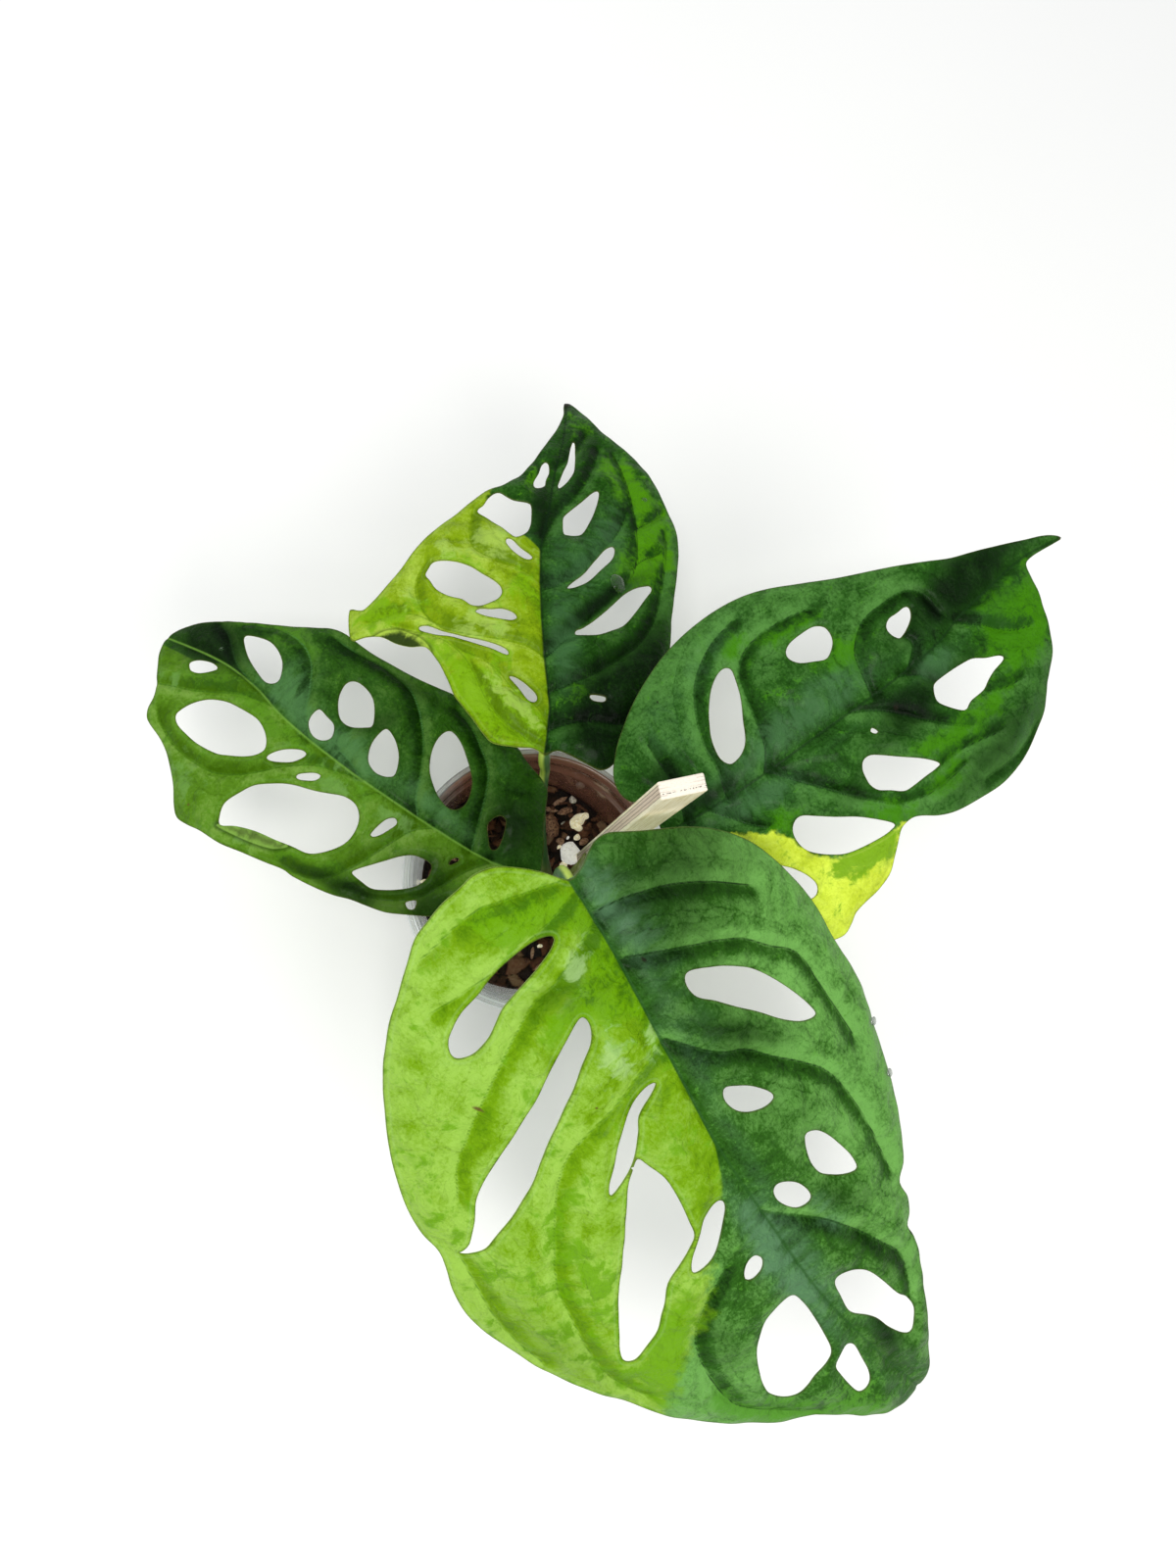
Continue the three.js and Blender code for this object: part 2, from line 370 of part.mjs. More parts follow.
/** A closed sheet over a blade's whole plane, on a grid that is finer beside the midrib. */
function bladeSheet(leaf) {
  const xs = leaf.outline.map((point) => point[0]);
  const ys = leaf.outline.map((point) => point[1]);
  const [low, high] = [Math.min(...xs) - 4, Math.max(...xs) + 4];
  const reach = Math.max(...ys.map(Math.abs)) + 18;
  const columns = Math.round((high - low) / BLADE.step);
  const rows = 2 * Math.round(reach / BLADE.step);
  const plane = new THREE.PlaneGeometry(2, 2, columns, rows);
  const count = plane.attributes.position.count;
  const positions = [];
  for (const side of [0.5, -0.5]) {
    for (let i = 0; i < count; i += 1) {
      const x = low + ((plane.attributes.position.getX(i) + 1) / 2) * (high - low);
      const across = plane.attributes.position.getY(i);
      const aside = reach * Math.sign(across) * Math.abs(across) ** BLADE.spread;
      const y = heightOfLine(leaf.midrib, x) + aside;
      positions.push(x, y, bladeHeight(leaf, x, y) + side * BLADE.thickness);
    }
  }
  const top = [...plane.index.array];
  const faces = [...top];
  for (let i = 0; i < top.length; i += 3) {
    faces.push(top[i] + count, top[i + 2] + count, top[i + 1] + count);
  }
  // The sheet's rim, walked with the blade on its left
  const rim = [];
  for (let i = 0; i < columns; i += 1) rim.push(rows * (columns + 1) + i);
  for (let i = rows; i > 0; i -= 1) rim.push(i * (columns + 1) + columns);
  for (let i = columns; i > 0; i -= 1) rim.push(i);
  for (let i = 0; i < rows; i += 1) rim.push(i * (columns + 1));
  rim.forEach((corner, i) => {
    const next = rim[(i + 1) % rim.length];
    faces.push(corner, corner + count, next + count, corner, next + count, next);
  });
  const sheet = new THREE.BufferGeometry();
  sheet.setAttribute('position', new THREE.Float32BufferAttribute(positions, 3));
  sheet.setIndex(faces);
  return sheet;
}

/** An upright block with the blade's outline and its holes. */
function bladeCutter(leaf) {
  const loop = (points) => points.map(([x, y]) => new THREE.Vector2(x, y));
  const shape = new THREE.Shape(loop(leaf.outline).reverse());
  shape.holes = leaf.holes.map((hole) => new THREE.Path(loop(hole)));
  const block = new THREE.ExtrudeGeometry(shape, { depth: 2 * BLADE.cutDepth, bevelEnabled: false });
  return block.translate(0, 0, -BLADE.cutDepth);
}

/** The ridge under a blade that its midrib makes, from behind its base to most of its length. */
function ribPoints(leaf, from, to, sunk) {
  const points = [];
  for (let x = from; x <= to; x += leaf.length / 9) {
    const y = heightOfLine(leaf.midrib, x);
    points.push(new THREE.Vector3(x, y, bladeHeight(leaf, x, y) - sunk));
  }
  return points;
}

/** One leaf: a cut blade with its rib and petiole, in the blade's own frame. */
function leafMesh(leaf, sleeve) {
  const place = new THREE.Matrix4().makeRotationFromEuler(leafTurn(leaf)).setPosition(vector(leaf.base));
  place.scale(new THREE.Vector3(leaf.size, leaf.size, leaf.size));
  const home = place.clone().invert();
  const blade = solidOf(bladeSheet(leaf)).intersect(solidOf(bladeCutter(leaf)));
  const rib = tube(ribPoints(leaf, 2, RIB.reach * leaf.length, RIB.radius), RIB.radius, RIB.sides, 14);
  const climb = leaf.petiole.map((point) => vector(point).applyMatrix4(home));
  const neck = ribPoints(leaf, 3, 10, PETIOLE.radius);
  const petiole = tube([...climb, ...neck], PETIOLE.radius, PETIOLE.sides, 18);
  const sheath = tube(climb.slice(0, 2), PETIOLE.sheathRadius, PETIOLE.sides, 2);
  const whole = blade.add(solidOf(rib)).add(solidOf(petiole)).add(solidOf(sheath));
  const clear = mainBody(whole.subtract(solidOf(sleeve.clone().applyMatrix4(home))));
  const mesh = namedMesh(leaf.name, geometryOf(clear), { ...FINISHES.leaf, color: leaf.colour });
  mesh.position.set(...leaf.base);
  mesh.rotation.copy(leafTurn(leaf));
  mesh.scale.setScalar(leaf.size);
  return mesh;
}

function leafTurn(leaf) {
  const degrees = THREE.MathUtils.degToRad;
  return new THREE.Euler(0, -degrees(leaf.pitch), degrees(leaf.heading), 'ZYX');
}

/** Outer radius of the tapering wall at a height. */
function wallRadius(z) {
  const top = POT.height - POT.collarHeight - POT.shoulderDrop;
  return POT.baseRadius + ((POT.shoulderRadius - POT.baseRadius) * z) / top;
}

function potMesh() {
  const shoulder = POT.height - POT.collarHeight - POT.shoulderDrop;
  const collar = POT.height - POT.collarHeight;
  const flange = POT.height - POT.flangeThickness;
  const inside = POT.collarRadius - POT.wall;
  const profile = [
    [0, 0], [POT.baseRadius - 1.2, 0], [POT.baseRadius, 1.2], [POT.shoulderRadius, shoulder],
    [POT.collarRadius - 0.5, collar], [POT.collarRadius, flange], [POT.flangeRadius - 0.4, flange],
    [POT.flangeRadius, flange + 0.5], [POT.flangeRadius, POT.height - 0.4],
    [POT.flangeRadius - 0.5, POT.height], [inside + 0.6, POT.height], [inside, POT.height - 0.6],
    [inside - 0.5, collar + 0.3], [POT.shoulderRadius - POT.wall, shoulder + 0.3],
    [wallRadius(POT.floor) - POT.wall, POT.floor + 0.6], [POT.baseRadius - POT.wall - 1, POT.floor],
    [0, POT.floor],
  ];
  const shell = new THREE.LatheGeometry(profile.map(([r, z]) => new THREE.Vector2(r, z)), POT.sides);
  let solid = solidOf(shell.rotateX(Math.PI / 2));
  for (let i = 0; i < DRAIN.count; i += 1) {
    const angle = (2 * Math.PI * i) / DRAIN.count;
    const drill = new THREE.CylinderGeometry(DRAIN.radius, DRAIN.radius, 3 * POT.floor, DRAIN.sides);
    drill.rotateX(Math.PI / 2);
    drill.translate(DRAIN.ring * Math.cos(angle), DRAIN.ring * Math.sin(angle), POT.floor / 2);
    solid = solid.subtract(solidOf(drill));
  }
  return namedMesh('pot', geometryOf(solid), FINISHES.pot);
}

/** Height of the mix's own surface, highest at the middle, with low swells. */
function mixTop(x, y) {
  const out = Math.hypot(x, y) / wallRadius(MIX.edge);
  const swell = Math.sin(0.31 * x + 1.2) * Math.cos(0.27 * y) + 0.6 * Math.sin(0.55 * y + 0.4 * x);
  return MIX.crown - (MIX.crown - MIX.edge) * out * out + MIX.bump * swell * (1 - out ** 6);
}

function mixPlug() {
  const radius = (z) => wallRadius(z) - POT.wall - GAP;
  const floor = POT.floor + GAP;
  const rim = radius(MIX.edge);
  const foot = radius(floor);
  const profile = [[0, floor], [foot - 1.4, floor], [foot, floor + 1.2], [rim, MIX.edge]];
  for (const share of [0.86, 0.7, 0.52, 0.34, 0.17, 0]) profile.push([share * rim, MIX.edge]);
  const plug = new THREE.LatheGeometry(profile.map(([r, z]) => new THREE.Vector2(r, z)), MIX.sides);
  plug.rotateX(Math.PI / 2);
  const at = plug.attributes.position;
  for (let i = 0; i < at.count; i += 1) {
    if (at.getZ(i) > MIX.edge - 0.01) at.setZ(i, mixTop(at.getX(i), at.getY(i)));
  }
  return plug;
}

function lump(radii, at, turns) {
  const stone = new THREE.IcosahedronGeometry(1, 0);
  stone.scale(...radii).rotateX(turns[0]).rotateY(turns[1]).rotateZ(turns[2]);
  return stone.translate(...at);
}

function mixMesh(holes) {
  const random = randomFrom(LUMPS.seed);
  let solid = solidOf(mixPlug());
  for (const stone of NAMED_LUMPS) {
    const turns = [0.3, 0.2, THREE.MathUtils.degToRad(stone.turn)];
    solid = solid.add(solidOf(lump(stone.radii, stone.at, turns)));
  }
  for (let i = 0; i < LUMPS.count; i += 1) {
    const out = LUMPS.reach * Math.sqrt(random());
    const angle = 2 * Math.PI * random();
    const size = LUMPS.small + (LUMPS.large - LUMPS.small) * random() ** 2;
    const radii = [size, size * (0.6 + 0.4 * random()), size * (0.55 + 0.3 * random())];
    const [x, y] = [out * Math.cos(angle), out * Math.sin(angle)];
    const turns = [random() * Math.PI, random() * Math.PI, random() * Math.PI];
    solid = solid.add(solidOf(lump(radii, [x, y, mixTop(x, y) + MIX.sunk * radii[2]], turns)));
  }
  for (const hole of holes) solid = solid.subtract(solidOf(hole));
  return namedMesh('potting_mix', geometryOf(mainBody(solid)), FINISHES.potting_mix);
}

/** The stake's bar, grown by clear on every side, running down from its top along its lean. */
function stakeBar(clear) {
  const [halfWidth, halfDepth] = [STAKE.width / 2 + clear, STAKE.thickness / 2 + clear];
  const shape = new THREE.Shape();
  const corners = [[1, 1], [-1, 1], [-1, -1], [1, -1]];
  const points = [];
  for (const [sx, sy] of corners) {
    const centre = [sx * (halfWidth - STAKE.corner), sy * (halfDepth - STAKE.corner)];
    const start = Math.atan2(sy, sx) - Math.PI / 4;
    for (const turn of [0, Math.PI / 4, Math.PI / 2]) {
      points.push(new THREE.Vector2(
        centre[0] + STAKE.corner * Math.cos(start + turn),
        centre[1] + STAKE.corner * Math.sin(start + turn),
      ));
    }
  }
  shape.setFromPoints(points);
  const length = STAKE.top[2] - STAKE.bottom + clear;
  const bar = new THREE.ExtrudeGeometry(shape, { depth: length, bevelEnabled: false });
  bar.translate(0, 0, -length).rotateZ(THREE.MathUtils.degToRad(STAKE.heading));
  return bar;
}

/** Leans the bar by shearing its lower parts sideways, and stands it at the stake's top centre. */
function standStake(bar) {
  const lean = new THREE.Matrix4().makeShear(0, 0, 0, 0, -STAKE.leanX, -STAKE.leanY);
  return bar.applyMatrix4(lean).translate(...STAKE.top);
}

/** The new shoot: a furled leaf that narrows from the stem's top to a point, grown by clear. */
function shootGeometry(clear) {
  const steps = 6;
  const curve = new THREE.CatmullRomCurve3(SHOOT.path.map(vector), false, 'centripetal');
  const stations = curve.getSpacedPoints(steps);
  const shoot = tube(SHOOT.path.map(vector), 1, SHOOT.sides, steps);
  const at = shoot.attributes.position;
  for (let i = 0; i < at.count; i += 1) {
    const point = new THREE.Vector3().fromBufferAttribute(at, i);
    const distances = stations.map((station) => station.distanceTo(point));
    const nearest = distances.indexOf(Math.min(...distances));
    const share = (nearest / steps) ** 2;
    const radius = SHOOT.radius * (1 - share) + SHOOT.tip * share + clear;
    point.sub(stations[nearest]).multiplyScalar(radius).add(stations[nearest]);
    at.setXYZ(i, point.x, point.y, point.z);
  }
  return shoot;
}

/** The stem's parts, each grown by clear: the vine, its aerial root, its new shoot and its nodes. */
function stemParts(clear) {
  const vine = tube(STEM.path.map(vector), STEM.radius + clear, STEM.sides, 9, clear);
  const root = tube(ROOT.path.map(vector), ROOT.radius + clear, ROOT.sides, 12, clear);
  const nodes = STEM.nodes.map((at) => {
    const [radius, height] = [STEM.nodeRadius + clear, STEM.nodeHeight + clear];
    const ring = new THREE.SphereGeometry(1, STEM.sides, 4).rotateX(Math.PI / 2);
    return ring.scale(radius, radius, height).translate(...at);
  });
  return [vine, root, shootGeometry(clear), ...nodes];
}

function joined(geometries) {
  return geometries.map(solidOf).reduce((whole, piece) => whole.add(piece));
}

const sleeve = geometryOf(joined(stemParts(GAP)));
const stem = namedMesh('stem', geometryOf(joined(stemParts(0))), FINISHES.stem);
const stake = namedMesh('stake', standStake(stakeBar(0)), FINISHES.stake);

const plant = new THREE.Group();
plant.add(stem, ...LEAVES.map((leaf) => leafMesh(leaf, sleeve)));

const pottedVine = new THREE.Group();
pottedVine.add(potMesh(), mixMesh([sleeve, standStake(stakeBar(GAP))]), stake, plant);

export default pottedVine;
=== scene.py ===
"""Looks of a potted half moon swiss cheese vine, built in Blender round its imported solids.

Lengths are millimetres unless a name ends in _m, and meshes are written in metres. A leaf is drawn in its
own plane, x from the base of its blade towards its tip and y to its left, and its finish reads the same
plane in centimetres from a UV map.
"""

import logging
import math
from collections.abc import Sequence
from dataclasses import dataclass, field
from enum import Enum

import bpy
import bmesh
import numpy as np
from mathutils import Matrix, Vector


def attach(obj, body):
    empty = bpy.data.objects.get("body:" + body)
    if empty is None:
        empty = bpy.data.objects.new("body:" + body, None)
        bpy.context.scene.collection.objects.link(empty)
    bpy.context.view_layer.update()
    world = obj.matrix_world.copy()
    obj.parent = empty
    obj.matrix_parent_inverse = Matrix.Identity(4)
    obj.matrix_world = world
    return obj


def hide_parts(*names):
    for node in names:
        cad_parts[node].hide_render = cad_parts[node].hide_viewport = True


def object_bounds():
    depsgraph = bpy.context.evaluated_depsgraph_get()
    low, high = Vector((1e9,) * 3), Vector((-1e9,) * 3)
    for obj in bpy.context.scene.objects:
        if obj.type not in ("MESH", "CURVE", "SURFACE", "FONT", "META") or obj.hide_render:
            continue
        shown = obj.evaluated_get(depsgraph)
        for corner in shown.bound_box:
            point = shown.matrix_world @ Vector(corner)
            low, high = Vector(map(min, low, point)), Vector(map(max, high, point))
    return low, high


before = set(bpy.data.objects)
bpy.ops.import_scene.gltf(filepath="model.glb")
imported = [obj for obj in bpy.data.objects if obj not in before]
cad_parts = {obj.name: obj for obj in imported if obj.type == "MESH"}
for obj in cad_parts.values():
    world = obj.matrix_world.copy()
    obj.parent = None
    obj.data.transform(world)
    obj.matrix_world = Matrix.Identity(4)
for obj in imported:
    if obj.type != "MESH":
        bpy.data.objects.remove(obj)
CAD_BOX = [list(corner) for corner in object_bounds()]

MM = 0.001
BODY = "root"
LEAF_PLANE = "leaf_plane"
LOOP_STEPS = 4  # Points drawn on each span of a measured line
FAR = 15.0  # Distances on a blade are kept within this
REPORT = logging.getLogger("potted_vine")

Point = tuple[float, ...]
Line = Sequence[Point]
Colour = tuple[float, float, float, float]


# Lines, distances and sheets


def smooth_line(points: Line, steps: int, closed: bool = False) -> np.ndarray:
    """Draws a smooth curve through points.

    With a, b, c and d the points before, at both ends of and after a span, the curve there is half of
    2b + (c - a)t + (2a - 5b + 4c - d)t^2 + (3b - a - 3c + d)t^3, for t from 0 to 1.

    Args:
        points: The points that the curve goes through, in order.
        steps: Number of points drawn for each span.
        closed: Whether the last point joins the first.

    Returns:
        The curve's points, one in each row.
    """
    line = np.asarray(points, float)
    if closed:
        a, b, c, d = (np.roll(line, shift, axis=0) for shift in (1, 0, -1, -2))
    else:
        longer = np.vstack([2 * line[0] - line[1], line, 2 * line[-1] - line[-2]])
        a, b, c, d = longer[:-3], longer[1:-2], longer[2:-1], longer[3:]
    a, b, c, d = (corner[:, None, :] for corner in (a, b, c, d))
    t = (np.arange(steps) / steps)[None, :, None]
    curve = b + 0.5 * t * (c - a + t * (2 * a - 5 * b + 4 * c - d + t * (3 * b - a - 3 * c + d)))
    curve = curve.reshape(-1, line.shape[1])
    return curve if closed else np.vstack([curve, line[-1]])


def nearest_on_line(places: np.ndarray, line: np.ndarray, closed: bool = False) -> tuple:
    """Finds how far places are from a line, their nearest points on it and its direction there.

    On a span, the nearest point is its start plus t times its run, where t is the dot product of the run
    and the way from the start to the place, over the run's square, kept from 0 to 1.

    Args:
        places: The places, one in each row.
        line: The line's points, one in each row.
        closed: Whether the line's last point joins its first.

    Returns:
        The distances, the nearest points and the directions.
    """
    starts = line if closed else line[:-1]
    ends = np.roll(line, -1, axis=0) if closed else line[1:]
    best = np.full(len(places), np.inf)
    nearest, course = np.zeros_like(places), np.zeros_like(places)
    for start, run in zip(starts, ends - starts):
        t = np.clip((places - start) @ run / max(run @ run, 1e-9), 0, 1)
        point = start + t[:, None] * run
        gap = np.hypot(*(places - point).T)
        closer = gap < best
        best[closer] = gap[closer]
        nearest[closer] = point[closer]
        course[closer] = run / max(math.hypot(*run), 1e-9)
    return best, nearest, course


def inside_loop(places: np.ndarray, loop: np.ndarray) -> np.ndarray:
    """Says which places lie inside a closed loop: those whose line to the right crosses it an odd number of
    times.
    """
    x, y = places.T
    inside = np.zeros(len(places), bool)
    for (x0, y0), (x1, y1) in zip(loop, np.roll(loop, -1, axis=0)):
        if y0 != y1:
            passed = (y0 > y) != (y1 > y)
            inside ^= passed & (x < x0 + (x1 - x0) * (y - y0) / (y1 - y0))
    return inside


def depth_inside(places: np.ndarray, loop: np.ndarray) -> np.ndarray:
    """Distance from places to a closed loop, positive inside it and negative outside."""
    return np.where(inside_loop(places, loop), 1, -1) * nearest_on_line(places, loop, closed=True)[0]


def deepest(places: np.ndarray, loops: Sequence[np.ndarray | Line]) -> np.ndarray:
    """How deep places lie in whichever loop holds them deepest, kept from -FAR to FAR."""
    depth = np.full(len(places), -FAR)
    for loop in loops:
        depth = np.maximum(depth, np.minimum(depth_inside(places, np.asarray(loop, float)), FAR))
    return depth


def lengths_along(path: np.ndarray) -> np.ndarray:
    """How far along a path each of its points lies."""
    return np.concatenate([[0], np.cumsum(np.linalg.norm(np.diff(path, axis=0), axis=1))])


def angles(count: int) -> np.ndarray:
    """The angles that share out a full turn, from 0 on."""
    return 2 * math.pi * np.arange(count) / count


def circle(count: int) -> np.ndarray:
    """Points that share out a circle of radius 1, from its x axis on."""
    return np.column_stack([np.cos(angles(count)), np.sin(angles(count))])


def bell(distance: np.ndarray, width: float) -> np.ndarray:
    """e^(-(distance / width)^2), which is 1 at no distance and almost 0 beyond two widths."""
    return np.exp(-(distance / width) ** 2)


def waves(places: np.ndarray, length: float, seed: int, count: int = 7) -> np.ndarray:
    """A smooth random surface from -1 to 1: the mean of sine waves whose directions and starts are drawn at
    random and whose lengths are near the given one.
    """
    random = np.random.default_rng(seed)
    ways = random.normal(size=(places.shape[1], count))
    ways /= np.linalg.norm(ways, axis=0)
    ways *= 2 * math.pi / (length * random.uniform(0.7, 1.4, count))
    return np.sin(places @ ways + random.uniform(0, 2 * math.pi, count)).mean(axis=1)


@dataclass
class Sheet:
    """A flat grid trimmed to an outline with holes.

    Attributes:
        places: Its points in its own plane.
        edge: How far each point is from the nearest edge.
        quads: Its faces, seen anticlockwise from above.
        rim: Its free edges, walked with the sheet on the left.
    """

    places: np.ndarray
    edge: np.ndarray
    quads: np.ndarray
    rim: np.ndarray


def main_island(kept: np.ndarray) -> np.ndarray:
    """The part of a mask that hangs together with its middle, grown cell by cell until it stops."""
    cells = np.argwhere(kept)
    seed = cells[np.abs(cells - cells.mean(axis=0)).sum(axis=1).argmin()]
    island = np.zeros_like(kept)
    island[tuple(seed)] = True
    size = 0
    while island.sum() > size:
        size = island.sum()
        for _ in range(8):
            grown = island.copy()
            grown[1:] |= island[:-1]
            grown[:-1] |= island[1:]
            grown[:, 1:] |= island[:, :-1]
            grown[:, :-1] |= island[:, 1:]
            island = grown & kept
    return island


def without_pinches(kept: np.ndarray) -> np.ndarray:
    """Fills one cell wherever two kept cells touch at a corner only."""
    kept = kept.copy()
    a, b, c, d = kept[:-1, :-1], kept[1:, :-1], kept[:-1, 1:], kept[1:, 1:]
    b |= a & d & ~b & ~c
    a |= b & c & ~a & ~d
    return kept


def trimmed_sheet(loops: list[np.ndarray], step: float) -> Sheet:
    """Trims a square grid to an outline and its holes.

    The cells whose middles lie inside are kept, and the points along their border move to the nearest
    point of an edge.

    Args:
        loops: The outline, and then the holes.
        step: The grid's spacing.

    Returns:
        The trimmed sheet.
    """
    low = loops[0].min(axis=0) - step
    size = np.ceil((loops[0].max(axis=0) + step - low) / step).astype(int)
    cells = np.stack(np.meshgrid(*map(np.arange, size), indexing="ij"), axis=-1).reshape(-1, 2)
    middles = low + step * (cells + 0.5)
    kept = inside_loop(middles, loops[0])
    for hole in loops[1:]:
        kept &= ~inside_loop(middles, hole)
    kept = main_island(without_pinches(without_pinches(kept.reshape(size))))

    number = np.arange((size[0] + 1) * (size[1] + 1)).reshape(size + 1)
    corners = number[:-1, :-1], number[1:, :-1], number[1:, 1:], number[:-1, 1:]
    quads = np.stack(corners, axis=-1)[kept]
    framed = np.pad(kept, 1)
    beside = framed[1:-1, :-2], framed[2:, 1:-1], framed[1:-1, 2:], framed[:-2, 1:-1]
    rim = np.vstack([
        np.stack([corners[k], corners[(k + 1) % 4]], axis=-1)[kept & ~beside[k]] for k in range(4)
    ])
    used, quads = np.unique(quads, return_inverse=True)
    renumbered = np.zeros(number.size, int)
    renumbered[used] = np.arange(len(used))
    rim = renumbered[rim]
    places = low + step * np.stack(np.divmod(used, size[1] + 1), axis=1)

    edge, nearest, _ = nearest_on_line(places, loops[0], closed=True)
    for hole in loops[1:]:
        gap, point, _ = nearest_on_line(places, hole, closed=True)
        nearest = np.where((gap < edge)[:, None], point, nearest)
        edge = np.minimum(edge, gap)
    border = np.unique(rim)
    places[border] = nearest[border]
    edge[border] = 0
    return Sheet(places, edge, quads.reshape(-1, 4), rim)


# Surfaces and meshes


@dataclass
class Surface:
    """A mesh in the making.

    Attributes:
        points: Its corners, in millimetres.
        quads: Its four-sided faces.
        triangles: Its three-sided faces.
        numbers: Named numbers at the corners, for its finish to read.
        plane: The corners' places in a plane, in centimetres, if the finish follows the surface.
        flat: Which quads are shaded flat.
    """

    points: np.ndarray
    quads: np.ndarray
    triangles: np.ndarray = field(default_factory=lambda: np.zeros((0, 3), int))
    numbers: dict[str, np.ndarray] = field(default_factory=dict)
    plane: np.ndarray | None = None
    flat: np.ndarray | None = None


def shell(sheet: Sheet, top: np.ndarray, bottom: np.ndarray) -> Surface:
    """Closes a trimmed sheet into a solid with a top, a bottom and an edge all round."""
    count = len(top)
    edges = np.column_stack([sheet.rim + count, sheet.rim[:, ::-1]])
    quads = np.vstack([sheet.quads, sheet.quads[:, ::-1] + count, edges])
    flat = np.arange(len(quads)) >= 2 * len(sheet.quads)
    return Surface(np.vstack([top, bottom]), quads, flat=flat)


def rolled(rows: np.ndarray, poles: tuple[Point, Point] | None = None) -> Surface:
    """Joins rings of points, each with as many points, into a closed skin.

    Args:
        rows: Rings by points by 3, the rings seen anticlockwise from the last ring's end.
        poles: The points that close the first and the last ring, or their middles if left out.

    Returns:
        The skin, whose last two points are its poles.
    """
    count, sides = rows.shape[:2]
    number = np.arange(count * sides).reshape(count, sides)
    after = np.roll(number, -1, axis=1)
    quads = np.stack([number[:-1], after[:-1], after[1:], number[1:]], axis=-1).reshape(-1, 4)
    foot, head = count * sides, count * sides + 1
    ends = [
        np.column_stack([after[0], number[0], np.full(sides, foot)]),
        np.column_stack([number[-1], after[-1], np.full(sides, head)]),
    ]
    ends_at = (rows[0].mean(axis=0), rows[-1].mean(axis=0)) if poles is None else poles
    return Surface(np.vstack([rows.reshape(-1, 3), *ends_at]), quads, np.vstack(ends))


def turned(profile: np.ndarray, sides: int) -> Surface:
    """Turns a closed profile of radius and height about the z axis, into a ring without poles."""
    cos, sin = circle(sides).T
    radius, height = profile[:, 0][:, None], profile[:, 1][:, None]
    rows = np.stack([radius * cos, radius * sin, height + 0 * cos], axis=-1)
    number = np.arange(len(profile) * sides).reshape(-1, sides)
    above, after = np.roll(number, -1, axis=0), np.roll(number, -1, axis=1)
    quads = np.stack([number, after, np.roll(above, -1, axis=1), above], axis=-1)
    return Surface(rows.reshape(-1, 3), quads.reshape(-1, 4))


def swept(path: np.ndarray, radius: np.ndarray, sides: int, upward: Point) -> Surface:
    """Carries a ring along a path.

    At each point of the path the ring stands square to the path's direction d. Its first axis is the
    cross product of upward and d, its second the cross product of d and the first, and its points are
    the path plus radius times (cos a times the first plus sin a times the second).

    Args:
        path: The path's points.
        radius: The radius at each point of the path and each angle a, or one for each point.
        sides: Number of points in a ring.
        upward: A direction that the path never takes.

    Returns:
        The closed bar, with the cosine of its angles and its lengths along the path as numbers.
    """
    way = np.gradient(path, axis=0)
    way /= np.linalg.norm(way, axis=1, keepdims=True)
    first = np.cross(np.asarray(upward, float), way)
    first /= np.linalg.norm(first, axis=1, keepdims=True)
    second = np.cross(way, first)
    cos, sin = circle(sides).T
    radius = np.broadcast_to(radius if radius.ndim == 2 else radius[:, None], (len(path), sides))
    spokes = cos[None, :, None] * first[:, None] + sin[None, :, None] * second[:, None]
    surface = rolled(path[:, None] + radius[..., None] * spokes)
    along = lengths_along(path)
    surface.numbers = {
        "along": np.concatenate([np.repeat(along, sides), along[[0, -1]]]),
        "round": np.concatenate([np.tile(cos, len(path)), [0, 0]]),
    }
    return surface


def lump(radii: Point, seed: int, rough: float, rings: int = 7, sides: int = 10) -> Surface:
    """A stone or a chip: an ellipsoid whose radius swells by rough times a random smooth surface, and whose
    corners are cut off by random planes.
    """
    random = np.random.default_rng(seed)
    tilt, (cos, sin) = (math.pi * (np.arange(rings) + 0.5) / rings)[:, None], circle(sides).T
    ways = np.stack([-np.sin(tilt) * cos, np.sin(tilt) * sin, np.cos(tilt) + 0 * cos], axis=-1)
    surface = rolled(ways, ((0, 0, 1), (0, 0, -1)))
    unit = surface.points
    size = 1 + rough * waves(unit, 1.6, seed) + 0.4 * rough * waves(unit, 0.6, seed + 1)
    for plane in random.normal(size=(12, 3)):
        plane /= np.linalg.norm(plane)
        reach = np.maximum(unit @ plane, 1e-3)
        size = np.minimum(size, random.uniform(0.62, 0.95) / reach)
    surface.points = unit * size[:, None] * np.asarray(radii, float)
    return surface


def merged(surfaces: list[Surface]) -> Surface:
    """Several surfaces as one, with the same named numbers."""
    starts = np.cumsum([0] + [len(surface.points) for surface in surfaces[:-1]])
    names = surfaces[0].numbers
    return Surface(
        np.vstack([surface.points for surface in surfaces]),
        np.vstack([surface.quads + start for surface, start in zip(surfaces, starts)]),
        np.vstack([surface.triangles + start for surface, start in zip(surfaces, starts)]),
        {name: np.concatenate([surface.numbers[name] for surface in surfaces]) for name in names},
    )


